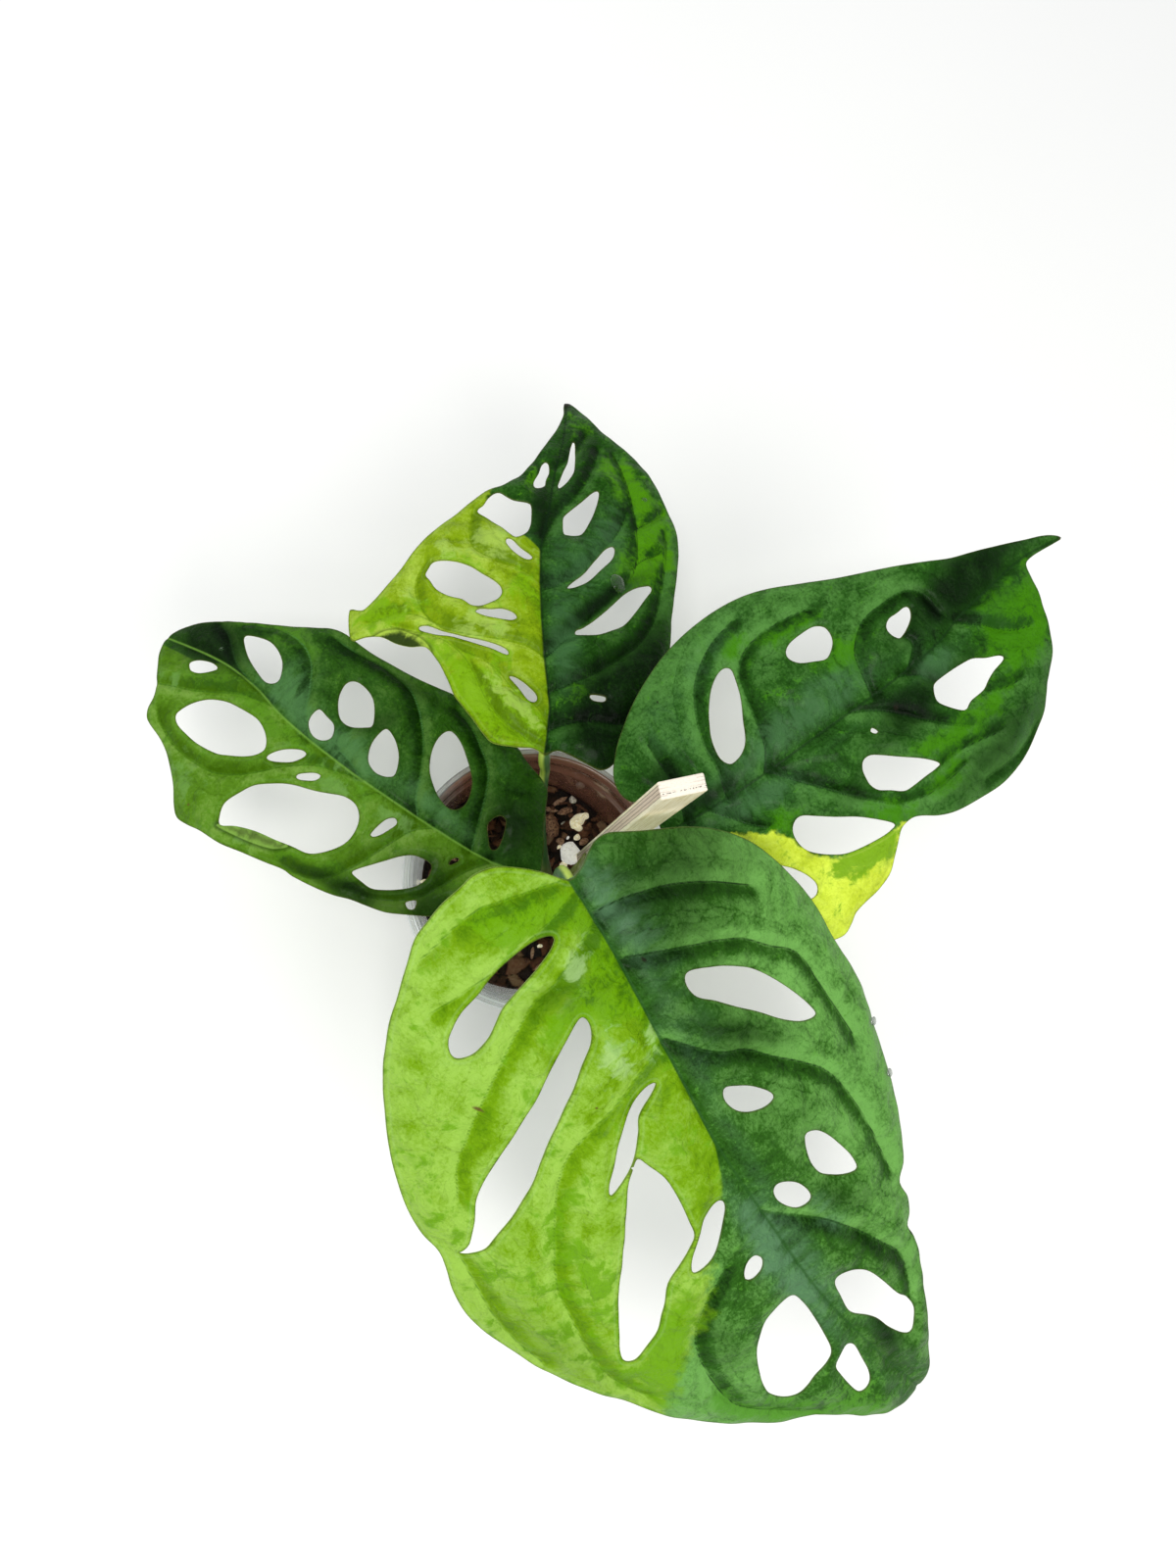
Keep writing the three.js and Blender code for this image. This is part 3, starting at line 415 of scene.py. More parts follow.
def mesh_of(name: str, surface: Surface) -> bpy.types.Mesh:
    """Writes a surface into a mesh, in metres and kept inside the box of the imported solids."""
    low, high = np.array(CAD_BOX)
    points = np.clip(surface.points * MM, low, high)
    mesh = bpy.data.meshes.new(name)
    loops = np.concatenate([surface.quads.ravel(), surface.triangles.ravel()])
    counts = np.repeat([4, 3], [len(surface.quads), len(surface.triangles)])
    mesh.vertices.add(len(points))
    mesh.vertices.foreach_set("co", points.astype(np.float32).ravel())
    mesh.loops.add(len(loops))
    mesh.loops.foreach_set("vertex_index", loops.astype(np.int32))
    mesh.polygons.add(len(counts))
    mesh.polygons.foreach_set("loop_start", (np.cumsum(counts) - counts).astype(np.int32))
    smooth = np.ones(len(counts), bool)
    if surface.flat is not None:
        smooth[:len(surface.flat)] = ~surface.flat
    mesh.polygons.foreach_set("use_smooth", smooth)
    mesh.update(calc_edges=True)
    for label, values in surface.numbers.items():
        mesh.attributes.new(label, "FLOAT", "POINT").data.foreach_set("value", values.astype(np.float32))
    if surface.plane is not None:
        layer = mesh.uv_layers.new(name=LEAF_PLANE)
        layer.data.foreach_set("uv", surface.plane[loops].astype(np.float32).ravel())
    work = bmesh.new()
    work.from_mesh(mesh)
    bmesh.ops.remove_doubles(work, verts=work.verts, dist=0.01 * MM)
    work.to_mesh(mesh)
    work.free()
    mesh.validate()
    return mesh


def add_piece(
    name: str, surface: Surface, finish: bpy.types.Material, node: str, slot: str | None = None,
) -> None:
    """Adds a piece to the scene, riding with the solids.

    Args:
        name: The piece's name.
        surface: Its shape.
        finish: Its material.
        node: The solid that it stands for.
        slot: The material slot that its finish belongs to. It is not used.
    """
    piece = bpy.data.objects.new(name, mesh_of(name, surface))
    piece.data.materials.append(finish)
    bpy.context.scene.collection.objects.link(piece)
    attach(piece, BODY)
    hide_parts(node)
    REPORT.info("%s: %d faces", name, len(piece.data.polygons))


# Finishes


def paint(code: str) -> Colour:
    """A colour written as six hexadecimal digits, as the linear colour that a shader takes."""
    parts = [int(code[i:i + 2], 16) / 255 for i in (0, 2, 4)]
    red, green, blue = (p / 12.92 if p <= 0.04045 else ((p + 0.055) / 1.055) ** 2.4 for p in parts)
    return (red, green, blue, 1.0)


class Shade:
    """A shader socket that takes part in sums, products and powers with numbers and other sockets."""

    def __init__(self, graph: "Graph", socket: bpy.types.NodeSocket) -> None:
        """Keeps the graph and the socket."""
        self.graph = graph
        self.socket = socket

    def _with(self, operation: str, first: "Shade | float", second: "Shade | float") -> "Shade":
        """Adds one Math node."""
        return self.graph.node("ShaderNodeMath", {"operation": operation}, {0: first, 1: second})

    def __add__(self, other: "Shade | float") -> "Shade":
        """The sum."""
        return self._with("ADD", self, other)

    def __sub__(self, other: "Shade | float") -> "Shade":
        """The difference."""
        return self._with("SUBTRACT", self, other)

    def __rsub__(self, other: float) -> "Shade":
        """The difference, with the number first."""
        return self._with("SUBTRACT", other, self)

    def __mul__(self, other: "Shade | float") -> "Shade":
        """The product."""
        return self._with("MULTIPLY", self, other)

    def __truediv__(self, other: "Shade | float") -> "Shade":
        """The ratio."""
        return self._with("DIVIDE", self, other)

    def __pow__(self, other: float) -> "Shade":
        """The power."""
        return self._with("POWER", self, other)

    def __abs__(self) -> "Shade":
        """The value without its sign."""
        return self._with("ABSOLUTE", self, 0.0)

    __radd__ = __add__
    __rmul__ = __mul__


class Graph:
    """A material and the nodes that are added to it."""

    def __init__(self, name: str, flat: bool = False) -> None:
        """Starts an empty material, whose patterns lie in a plane if flat."""
        self.dimensions = "2D" if flat else "3D"
        self.material = bpy.data.materials.new(name)
        self.material.use_nodes = True
        self.tree = self.material.node_tree
        self.tree.nodes.clear()

    def node(
        self, kind: str, settings: dict | None = None, inputs: dict | None = None, output: int = 0,
    ) -> Shade:
        """Adds a node.

        Args:
            kind: The node's type.
            settings: Its settings by name; stops lists a ramp's places and colours.
            inputs: Numbers, colours or sockets for its inputs, by name or place.
            output: The place of the output that is wanted.

        Returns:
            That output.
        """
        made = self.tree.nodes.new(kind)
        for name, value in (settings or {}).items():
            if name == "stops":
                for i, (place, colour) in enumerate(value):
                    stop = made.color_ramp.elements[i] if i < 2 else made.color_ramp.elements.new(place)
                    stop.position, stop.color = place, colour
            else:
                setattr(made, name, value)
        for key, value in (inputs or {}).items():
            if isinstance(value, Shade):
                self.tree.links.new(value.socket, made.inputs[key])
            else:
                made.inputs[key].default_value = value
        return Shade(self, made.outputs[output])

    def plane(self) -> Shade:
        """The surface's own plane, in centimetres."""
        return self.node("ShaderNodeUVMap", {"uv_map": LEAF_PLANE})

    def place(self, scale: Point = (100, 100, 100)) -> Shade:
        """The place in the object, in centimetres unless another scale is given."""
        where = self.node("ShaderNodeTexCoord", output=3)
        return self.node("ShaderNodeMapping", inputs={"Vector": where, "Scale": scale})

    def number(self, name: str) -> Shade:
        """A named number of the surface."""
        return self.node("ShaderNodeAttribute", {"attribute_name": name}, output=2)

    def noise(
        self, at: Shade, scale: float, detail: float = 3, rough: float = 0.55, output: int = 0,
    ) -> Shade:
        """Soft noise, as a number or with output 1 as a colour."""
        inputs = {"Vector": at, "Scale": scale, "Detail": detail, "Roughness": rough}
        return self.node("ShaderNodeTexNoise", {"noise_dimensions": self.dimensions}, inputs, output)

    def cells(self, at: Shade, scale: float, feature: str = "DISTANCE_TO_EDGE") -> Shade:
        """Irregular cells: the distance to their walls, or another feature of them."""
        settings = {"feature": feature, "voronoi_dimensions": self.dimensions}
        return self.node("ShaderNodeTexVoronoi", settings, {"Vector": at, "Scale": scale})

    def warped(self, at: Shade, scale: float, reach: float) -> Shade:
        """A place moved about by soft noise."""
        maths, push = "ShaderNodeVectorMath", self.noise(at, scale, 2, output=1)
        centred = self.node(maths, {"operation": "SUBTRACT"}, {0: push, 1: (0.5, 0.5, 0.5)})
        scaled = self.node(maths, {"operation": "SCALE"}, {0: centred, "Scale": reach})
        return self.node(maths, {"operation": "ADD"}, {0: at, 1: scaled})

    def ramp(self, value: Shade, colours: Sequence[str], places: Point = (0, 0.5, 1)) -> Shade:
        """Goes through the colours as the value goes through the places."""
        stops = [(place, paint(colour)) for place, colour in zip(places, colours)]
        return self.node("ShaderNodeValToRGB", {"stops": stops}, {"Fac": value})

    def step(self, value: Shade, low: float, high: float) -> Shade:
        """Goes softly from 0 where the value is low to 1 where it is high."""
        inputs = {"Value": value, "From Min": low, "From Max": high}
        return self.node("ShaderNodeMapRange", {"interpolation_type": "SMOOTHSTEP"}, inputs)

    def bell(self, value: Shade, width: float) -> Shade:
        """1 where the value is 0, and falling softly to 0 at plus and minus the width."""
        return 1 - self.step(abs(value), 0, width)

    def mix(self, share: Shade, low: Shade | str, high: Shade | str, blend: str = "MIX") -> Shade:
        """Goes from the low colour to the high one as the share goes from 0 to 1."""
        low, high = (paint(end) if isinstance(end, str) else end for end in (low, high))
        settings = {"data_type": "RGBA", "blend_type": blend}
        return self.node("ShaderNodeMix", settings, {0: share, 6: low, 7: high}, 2)

    def bump(self, height: Shade) -> Shade:
        """Relief from a height in millimetres."""
        return self.node("ShaderNodeBump", {}, {"Height": height, "Strength": 1.0, "Distance": MM})

    def finished(self, inputs: dict[str, Shade | float]) -> bpy.types.Material:
        """Ends the graph in one surface with the given inputs."""
        surface = self.node("ShaderNodeBsdfPrincipled", {}, inputs)
        end = self.tree.nodes.new("ShaderNodeOutputMaterial")
        self.tree.links.new(surface.socket, end.inputs["Surface"])
        return self.material


# Leaves


class Tone(Enum):
    """What a mark on a leaf does to its colour, named as the number that its finish reads."""

    LIME = "lime"
    APPLE = "apple"
    BRIGHT = "bright"
    # A painted sheen: a painted reflection of the light
    SHEEN = "sheen"
    # Darker green and painted shade
    DEEP = "deep"
    SCAR = "scar"


@dataclass(frozen=True)
class Patch:
    """A soft oval patch on a blade.

    Attributes:
        x: Its middle on the blade's plane.
        y: See x.
        length: Half its length.
        width: Half its width.
        turn: The angle of its length from the blade's x, in degrees.
        strength: How strong it is in the middle.
    """

    x: float
    y: float
    length: float
    width: float
    turn: float = 0
    strength: float = 1

    def strength_at(self, places: np.ndarray) -> np.ndarray:
        """Falls as e to minus the square of the distance, measured in half lengths and half widths."""
        turn = math.radians(self.turn)
        way = places - np.array([self.x, self.y])
        along = way @ np.array([math.cos(turn), math.sin(turn)]) / self.length
        aside = way @ np.array([-math.sin(turn), math.cos(turn)]) / self.width
        return self.strength * np.exp(-along**2 - aside**2)


class Mottle:
    """The patterns that vary a leaf's colours, as sockets of its graph.

    Attributes:
        plane: The leaf's plane.
        edge: The distance from the nearest edge.
        rib: The distance from the midrib, with its side.
        furrow: The distance from the nearest furrow.
        cloud: Clouds about 12 mm wide, from -1 to 1.
        broken: Ragged spots about 4 mm wide, from -1 to 1.
        speckle: Specks about 1 mm wide, from -1 to 1.
        net: 0 on a net of fine veins about 3 mm apart, and 1 between them.
        pillow: 0 between swellings about 10 mm wide, and 1 on them.
        streaks: Short streaks across the blade, from 0 to 1.
        lesser: 1 on the broken lines beside the furrows.
        pale: How pale a place is, with painted shade and light by the furrows and painted light on
            swellings.
        painted_sheen: How strong the painted sheen, a painted reflection, is.
    """

    def __init__(self, graph: Graph, outward: float) -> None:
        """Adds the patterns to a graph; outward is how much paler the blade grows away from its midrib."""
        step, noise = graph.step, graph.noise
        self.plane = graph.plane()
        labels = "edge", "rib", "furrow", "flank"
        self.edge, self.rib, self.furrow, flank = (graph.number(label) for label in labels)
        drift = graph.warped(self.plane, 0.9, 0.5)
        self.cloud = 2 * noise(drift, 0.8, 3, 0.6) - 1
        self.broken = 2 * noise(drift, 2.4, 4, 0.65) - 1
        self.speckle = 2 * noise(self.plane, 9.0, 3, 0.75) - 1
        self.net = step(graph.cells(drift, 3.0), 0.0, 0.10)
        self.pillow = step(graph.cells(drift, 1.0), 0.0, 0.28)
        squeezed = graph.node("ShaderNodeMapping", {}, {"Vector": drift, "Scale": (2.6, 0.8, 1)})
        self.streaks = noise(squeezed, 1.2, 4)
        self.lesser = graph.bell(self.furrow + 2.0 * self.broken - 6.5, 0.5)

        # Mottled, with painted shade on each furrow's side towards the tip, painted light on its other side
        # and on the swellings
        pale = 0.30 + 0.35 * self.cloud + 0.24 * self.broken + 0.36 * self.speckle
        pale = pale + 0.07 * self.net + 0.12 * self.pillow - 0.12 * self.lesser
        pale = pale - 0.42 * step(flank + 0.3 * self.broken, 0, 0.7) + 0.26 * step(flank, 0, -0.8)
        self.pale = pale + 0.1 * step(self.edge, 12, 1) + outward * step(abs(self.rib), 3, 45)
        # Painted sheen, a painted reflection, on the sheen patches
        self.painted_sheen = graph.number(Tone.SHEEN.value) * (0.6 + 0.8 * step(self.streaks, 0.35, 0.65))


@dataclass(frozen=True)
class LeafFinish:
    """A waxy leaf in two greens that meet along a border.

    Attributes:
        dark: Colours of the dark part, from its deepest to its palest.
        lime: Colours of the light part, from its deepest to its palest.
        apple: Colour of the islands between the two.
        bright: Colour of the fresh patches on the dark part.
        sheen: Colour of the painted sheen, a painted reflection, along the veins of the dark part.
        light_sheen: Colour of that painted sheen on the light part and of a painted highlight inside its
            edge.
        rib: Colour of the midrib's line on the upper side.
        vein_and_shade: Colour of the furrows on the dark part: their own green and painted shade.
        crease: Colour of the furrows on the light part: their own green and painted shade.
        under: Colours of the dark and the light part's underside.
        curl: Colour of the places where the underside is turned up, with painted shade under the curl.
        shadow: Colour that the deep patches, of painted shade and darker green, are multiplied by.
        fold_shadow: Colour that the foot of a turned-up place is multiplied by.
        margin: Colour of the margin's line.
        scars: Colours of scars on the dark and the light part.
        border_jag: How far the border wanders away from the midrib, in millimetres.
        border_blur: Half the width over which the two greens mix there, in millimetres.
        rib_width: Half the width of the midrib's line, in millimetres.
        outward: How much paler the blade grows away from the midrib.
    """

    dark: tuple[str, str, str]
    lime: tuple[str, str, str]
    apple: str
    bright: str
    sheen: str
    light_sheen: str
    rib: str
    vein_and_shade: str
    crease: str
    under: tuple[str, str]
    curl: str
    shadow: str = "385A28"
    fold_shadow: str = "2A3A1C"
    margin: str = "4E5426"
    scars: tuple[str, str] = ("1C1A10", "5A4424")
    border_jag: float = 2.5
    border_blur: float = 0.5
    rib_width: float = 0.8
    outward: float = 0.3

    def dark_part(self, graph: Graph, on: Mottle) -> Shade:
        """The dark green, with fresh patches, painted sheen along the midrib, and the furrows' own green
        with painted shade.
        """
        step, bell, mix, broken, speckle = graph.step, graph.bell, graph.mix, on.broken, on.speckle
        dark = graph.ramp(on.pale, self.dark)
        spots = step(graph.number(Tone.BRIGHT.value) + broken + 0.6 * speckle, 0.25, 0.8)
        band = step(graph.number("fresh") + 7 * broken + 4 * on.cloud, -3.2, 3.2) * (1 - spots)
        lively = mix(step(on.pale + 0.6 * on.streaks, 0.35, 0.95), self.dark[1], self.bright)
        dark = mix((spots + band) * 0.9, dark, lively)
        # Painted sheen along the midrib and on the sheen patches
        dark_sheen_share = step(on.painted_sheen + 0.3 * bell(abs(on.rib) - 5, 5) + 0.3 * speckle, 0.0, 1.4)
        dark = mix(dark_sheen_share * 0.7, dark, self.sheen)
        # The furrows' own green with painted shade in them
        return mix(bell(on.furrow, 0.45) * step(on.edge, 0, 8), dark, self.vein_and_shade)

    def light_part(self, graph: Graph, on: Mottle) -> Shade:
        """The light green, with riper patches, painted sheen with a painted highlight inside the edge, and
        creases along the furrows that hold painted shade.
        """
        step, bell, mix, broken, cloud = graph.step, graph.bell, graph.mix, on.broken, on.cloud
        lime = graph.ramp(on.pale + 0.35 * cloud, self.lime)
        spots = step(graph.number(Tone.APPLE.value) + 0.9 * broken + 0.9 * cloud, 0.15, 0.6)
        band = step(graph.number("ripe") + 7 * broken + 4 * cloud, -2.6, 2.6) * (1 - spots)
        ripe = mix(step(on.pale + 0.5 * broken, 0.1, 0.6), self.crease, self.apple)
        lime = mix((spots + band) * 0.85, lime, ripe)
        # Painted sheen, and a painted highlight just inside the edge
        lime_sheen_share = step(on.painted_sheen + 0.8 * broken, 0.3, 0.8) * 0.5 + bell(on.edge - 1.2, 0.5) * 0.14
        lime = mix(lime_sheen_share, lime, self.light_sheen)
        # The creases' own green with painted shade in them
        return mix(bell(on.furrow, 0.45) * 0.7, lime, self.crease)

    def material(self, name: str) -> bpy.types.Material:
        """Builds the leaf's material.

        Args:
            name: The material's name.

        Returns:
            The material.
        """
        graph = Graph(name, flat=True)
        on = Mottle(graph, self.outward)
        step, bell, mix, number = graph.step, graph.bell, graph.mix, graph.number

        # Where the light part lies, behind a border that wanders away from the midrib
        away = step(abs(on.rib), 1.5, 12)
        wander = (2 * graph.noise(on.plane, 2.4, 4, 0.6) - 1) * (2 * self.border_jag) * away
        light = step((number(Tone.LIME.value) + wander) / (0.3 + self.border_blur * away), -1, 1)
        top = mix(light, self.dark_part(graph, on), self.light_part(graph, on))

        # Over both, deep patches of painted shade and darker green, the lines of the midrib and the margin,
        # and scars
        deep = step(number(Tone.DEEP.value) + 0.3 * on.cloud + 0.2 * on.speckle, 0.0, 1.1)
        top = mix(deep * 0.9, top, self.shadow, "MULTIPLY")
        top = mix(bell(on.rib, self.rib_width) * 0.7, top, self.rib)
        top = mix(bell(on.edge, 0.45) * 0.6, top, self.margin)
        top = mix(step(number(Tone.SCAR.value), 0.3, 0.8) * 0.9, top, mix(light, *self.scars))

        # The matt underside, where the veins stand out pale, and the places where it is turned up, with
        # painted shade at their foot and under the curl
        below = mix(light, *self.under)
        below = mix(bell(on.furrow, 1.2) * 0.5 + 0.2 * (1 - on.net), below, self.lime[2])
        fold, under = number("fold"), number("under")
        turned_up = step(fold, -0.3, 0.3)
        top = mix(bell(fold, 1.6) * (1 - turned_up) * 0.6, top, self.fold_shadow, "MULTIPLY")
        top = mix(turned_up, top, mix(step(fold + 2 * on.broken, 0.0, 2.0), self.lime[2], self.curl))

        height = 0.05 * on.net + 0.10 * on.speckle + 0.5 * on.broken - 0.08 * on.lesser + 0.5 * on.pillow
        return graph.finished({
            "Base Color": mix(under, top, below),
            "Roughness": 0.40 + 0.12 * on.speckle - 0.10 * on.cloud + 0.2 * under,
            "Normal": graph.bump(height),
            "Specular IOR Level": 0.05,
            "Coat Weight": 0.03 * (1 - under),
            "Coat Roughness": 0.15,
        })


@dataclass(frozen=True)
class PetioleFinish:
    """A smooth leaf stalk: pale on one side and dark on the other, with fine streaks along it and painted
    shade over its lower part.
    """

    light: str
    dark: str
    foot: str
    fleck: str = "B9D07A"

    def material(self, name: str) -> bpy.types.Material:
        """Builds the stalk's material, which reads the angle round it and the length along it."""
        graph = Graph(name)
        along = graph.number("along")
        streak = graph.noise(graph.place((130, 130, 22)), 1.6, 4, 0.6)
        fleck = graph.step(graph.cells(graph.place((60, 60, 25)), 1.5, "F1"), 0.25, 0.12)
        side = graph.step(graph.number("round") + 0.5 * (streak - 0.5), -0.35, 0.45)
        colour = graph.mix(side, self.dark, self.light)
        # Painted shade over the stalk's lower part
        colour = graph.mix(graph.step(along, 46, 34) * 0.8, colour, self.dark)
        colour = graph.mix(graph.step(along, 12, 1) * 0.7, colour, self.foot)
        return graph.finished({
            "Base Color": graph.mix(fleck * 0.3, colour, self.fleck), "Roughness": 0.34 + 0.2 * streak,
            "Normal": graph.bump(0.12 * streak), "Coat Weight": 0.15, "Coat Roughness": 0.25,
        })


@dataclass(frozen=True)
class LeafShape:
    """The measured form of one leaf.

    Attributes:
        midrib: The midrib's line on the plane.
        outline: The margin, walked anticlockwise.
        holes: The loops of the holes.
        petiole: The stalk's points from the stem up, in the object's own frame.
        furrows: The lines of the sunken main veins.
        lime: Loops round the light parts.
        base: Where the blade's base stands.
        heading: The angle of the blade's x round the vertical, in degrees.
        pitch: How far the blade's x climbs, in degrees.
        length: The drawn length.
        arch: How high the blade bends up halfway along.
        droop: How far it hangs at half_width from the midrib.
        half_width: See droop.
        fold: How far it rises beside the midrib.
        size: How much the drawn blade is scaled.
        ripe: Loops round the deeper patches of the light parts.
        fresh: Loops round the bright patches of the dark parts.
        turned_over: Loops where the margin curls and shows the underside.
        patches: Soft patches of other tones, among them painted sheen and painted shade.
        drops: Water drops, each with its place and its radius.
    """

    midrib: Line
    outline: Line
    holes: tuple[Line, ...]
    petiole: Line
    furrows: tuple[Line, ...]
    lime: tuple[Line, ...]
    base: Point
    heading: float
    pitch: float
    length: float
    arch: float
    droop: float
    half_width: float
    fold: float
    size: float = 1.0
    ripe: tuple[Line, ...] = ()
    fresh: tuple[Line, ...] = ()
    turned_over: tuple[Line, ...] = ()
    patches: dict[Tone, tuple[Patch, ...]] = field(default_factory=dict)
    drops: tuple[Point, ...] = ()


@dataclass
class Leaf:
    """One leaf: its blade, its stalk and the water on it.

    Attributes:
        node: The solid that it stands for.
        slot: The material slot of its finish.
        shape: Its measured form.
        finish: The blade's finish.
        stalk_finish: The stalk's finish.
        seed: Where its random ripples start.
        step: The spacing of the blade's points.
        thickness: The blade's thickness away from its edge.
        edge_thickness: Its thickness at the edge.
        puff: How high the blade swells between its furrows.
        ripple: How high its short ripples are.
        buckle: How high its margin's long waves are.
        furrow_depth: How deep the furrows are.
        furrow_width: Half the width of a furrow.
        groove_depth: How deep the groove along the midrib is.
        groove_width: Half the width of that groove.
        lip_depth: How far the margin is rolled down.
        lip_width: How wide the rolled margin is.
        rib_ridge: How far the midrib stands out below, at the blade's base.
        vein_ridge: How far the main veins stand out below.
        stalk_radius: The stalk's radius.
        fold_width: How far from the midrib most of the fold happens.
        drop_edge: How far from an edge the drops are taken to lie.
    """

    node: str
    slot: str
    shape: LeafShape
    finish: LeafFinish
    stalk_finish: PetioleFinish
    seed: int
    step: float = 0.66
    thickness: float = 0.75
    edge_thickness: float = 0.4
    puff: float = 2.3
    ripple: float = 0.5
    buckle: float = 1.1
    furrow_depth: float = 0.85
    furrow_width: float = 1.2
    groove_depth: float = 0.6
    groove_width: float = 0.8
    lip_depth: float = 0.45
    lip_width: float = 1.3
    rib_ridge: float = 1.6
    vein_ridge: float = 0.7
    stalk_radius: float = 1.75
    fold_width: float = 6.0
    drop_edge: float = 9.0

    def midrib_at(self, x: np.ndarray) -> np.ndarray:
        """The midrib's y at x: on each span a cubic whose end slopes are the chords between the neighbours
        of its ends.
        """
        line = np.asarray(self.shape.midrib, float)
        ends = np.vstack([line[:1], line, line[-1:]])
        slope = (ends[2:, 1] - ends[:-2, 1]) / (ends[2:, 0] - ends[:-2, 0])
        span = np.clip(np.searchsorted(line[:, 0], x, side="right") - 1, 0, len(line) - 2)
        run, rise = (line[span + 1] - line[span]).T
        t = np.clip((x - line[span, 0]) / run, 0, 1)
        start, end = slope[span] * run, slope[span + 1] * run
        return line[span, 1] + t * (start + t * (3 * rise - 2 * start - end + t * (start + end - 2 * rise)))

    def height_at(self, plane: np.ndarray) -> np.ndarray:
        """Height over the plane: 4 arch u (1 - u), with u the share of the length, less droop times the
        square of the distance v from the midrib over half_width, plus fold (1 - e^(-w^2 / (1 + w))) with w
        the distance over fold_width.
        """
        shape = self.shape
        u = np.clip(plane[:, 0] / shape.length, -0.3, 1.2)
        v = plane[:, 1] - self.midrib_at(plane[:, 0])
        w = np.abs(v) / self.fold_width
        arched = 4 * shape.arch * u * (1 - u) - shape.droop * (v / shape.half_width) ** 2
        return arched + shape.fold * (1 - np.exp(-w * w / (1 + w)))

    def to_world(self, plane: np.ndarray, height: np.ndarray) -> np.ndarray:
        """Takes places on the plane and heights over it into the object's own frame."""
        pitch, heading = math.radians(self.shape.pitch), math.radians(self.shape.heading)
        level = np.array([math.cos(heading), math.sin(heading), 0])
        ahead = math.cos(pitch) * level + np.array([0, 0, math.sin(pitch)])
        left = np.array([-math.sin(heading), math.cos(heading), 0])
        axes = np.stack([ahead, left, np.cross(ahead, left)])
        return np.array(self.shape.base) + self.shape.size * np.column_stack([plane, height]) @ axes

    def furrow_distances(self, plane: np.ndarray) -> tuple[np.ndarray, np.ndarray, np.ndarray]:
        """Measures how places lie to the furrows, each of which is drawn from the midrib outwards.

        Args:
            plane: Places on the plane.

        Returns:
            The distance to the nearest furrow. The product over all furrows of 1 - e^(-(distance / 6)^2),
            which is 0 in a furrow and 1 far from all. The sum over all furrows of the sine between the
            furrow and the way to the place, positive on its side towards the tip, times
            e^(-(distance / 3.4)^2) and 1 - e^(-(distance / 0.5)^2).
        """
        nearest = np.full(len(plane), FAR)
        swelling, flank = np.ones(len(plane)), np.zeros(len(plane))
        for furrow in self.shape.furrows:
            gap, point, course = nearest_on_line(plane, smooth_line(furrow, LOOP_STEPS))
            way = plane - point
            sine = (course[:, 0] * way[:, 1] - course[:, 1] * way[:, 0]) / np.maximum(gap, 1e-3)
            outwards = math.copysign(1, furrow[-1][1] - furrow[0][1])
            nearest = np.minimum(nearest, gap)
            swelling *= 1 - bell(gap, 6)
            flank -= outwards * sine * bell(gap, 3.4) * (1 - bell(gap, 0.5))
        return nearest, swelling, flank

    def relief_at(self, plane: np.ndarray, edge: np.ndarray) -> tuple[np.ndarray, dict[str, np.ndarray]]:
        """Finds the blade's fine relief.

        The blade rises by puff times the swelling between the furrows and by waves, and falls by
        furrow_depth e^(-(distance / furrow_width)^2) in the furrows. It falls in the same way by a groove
        along the midrib and by a lip along the edges.

        Args:
            plane: Places on the plane.
            edge: Their distances from the nearest edge.

        Returns:
            How far they stand over height_at, and how they lie to the midrib and the furrows by name.
        """
        rib = plane[:, 1] - self.midrib_at(plane[:, 0])
        furrow, swelling, flank = self.furrow_distances(plane)
        clear_of_rib, inward = 1 - bell(rib, 6), 1 - bell(edge, 4)
        ripples = 0.5 * waves(plane, 24, self.seed) + self.ripple * waves(plane, 9, self.seed + 1)
        relief = self.puff * swelling * clear_of_rib * (0.35 + 0.65 * inward) + ripples * clear_of_rib
        relief += self.buckle * waves(plane, 30, self.seed + 2) * np.exp(-edge / 8) * clear_of_rib
        groove = self.groove_depth * bell(rib, self.groove_width)
        relief -= self.furrow_depth * bell(furrow, self.furrow_width) + groove
        relief -= self.lip_depth * bell(edge, self.lip_width) + 0.6 * self.puff * clear_of_rib
        return relief, {"rib": rib, "furrow": furrow, "flank": flank}

    def marks_at(self, plane: np.ndarray) -> dict[str, np.ndarray]:
        """The numbers that place the finish's tones: summed patches, and depths inside drawn loops."""
        shape = self.shape
        marks = {tone.value: np.zeros(len(plane)) for tone in Tone}
        for tone, patches in shape.patches.items():
            for patch in patches:
                marks[tone.value] += patch.strength_at(plane)
        marks[Tone.LIME.value] = deepest(plane, shape.lime)
        marks["ripe"], marks["fresh"] = deepest(plane, shape.ripe), deepest(plane, shape.fresh)
        curls = [smooth_line(loop, LOOP_STEPS, closed=True) for loop in shape.turned_over]
        marks["fold"] = deepest(plane, curls)
        return marks

    def blade(self) -> Surface:
        """Builds the blade.

        Its upper side stands at height_at and relief_at. Its underside is a thickness below, with a ridge
        under the midrib and under each furrow.

        Returns:
            The blade with its numbers and its plane.
        """
        shape = self.shape
        loops = [smooth_line(loop, LOOP_STEPS, closed=True) for loop in (shape.outline, *shape.holes)]
        sheet = trimmed_sheet(loops, self.step)
        plane = sheet.places
        relief, veins = self.relief_at(plane, sheet.edge)
        inward = 1 - bell(sheet.edge, 4)
        middle = self.height_at(plane) + relief
        thickness = self.edge_thickness + (self.thickness - self.edge_thickness) * inward
        fade = np.clip(1 - plane[:, 0] / (0.95 * shape.length), 0.15, 1)
        ridge = self.rib_ridge * fade * bell(veins["rib"], 1.4)
        ridge += self.vein_ridge * bell(veins["furrow"], 0.9) * inward
        top = self.to_world(plane, middle + thickness / 2)
        bottom = self.to_world(plane, middle - thickness / 2 - ridge)

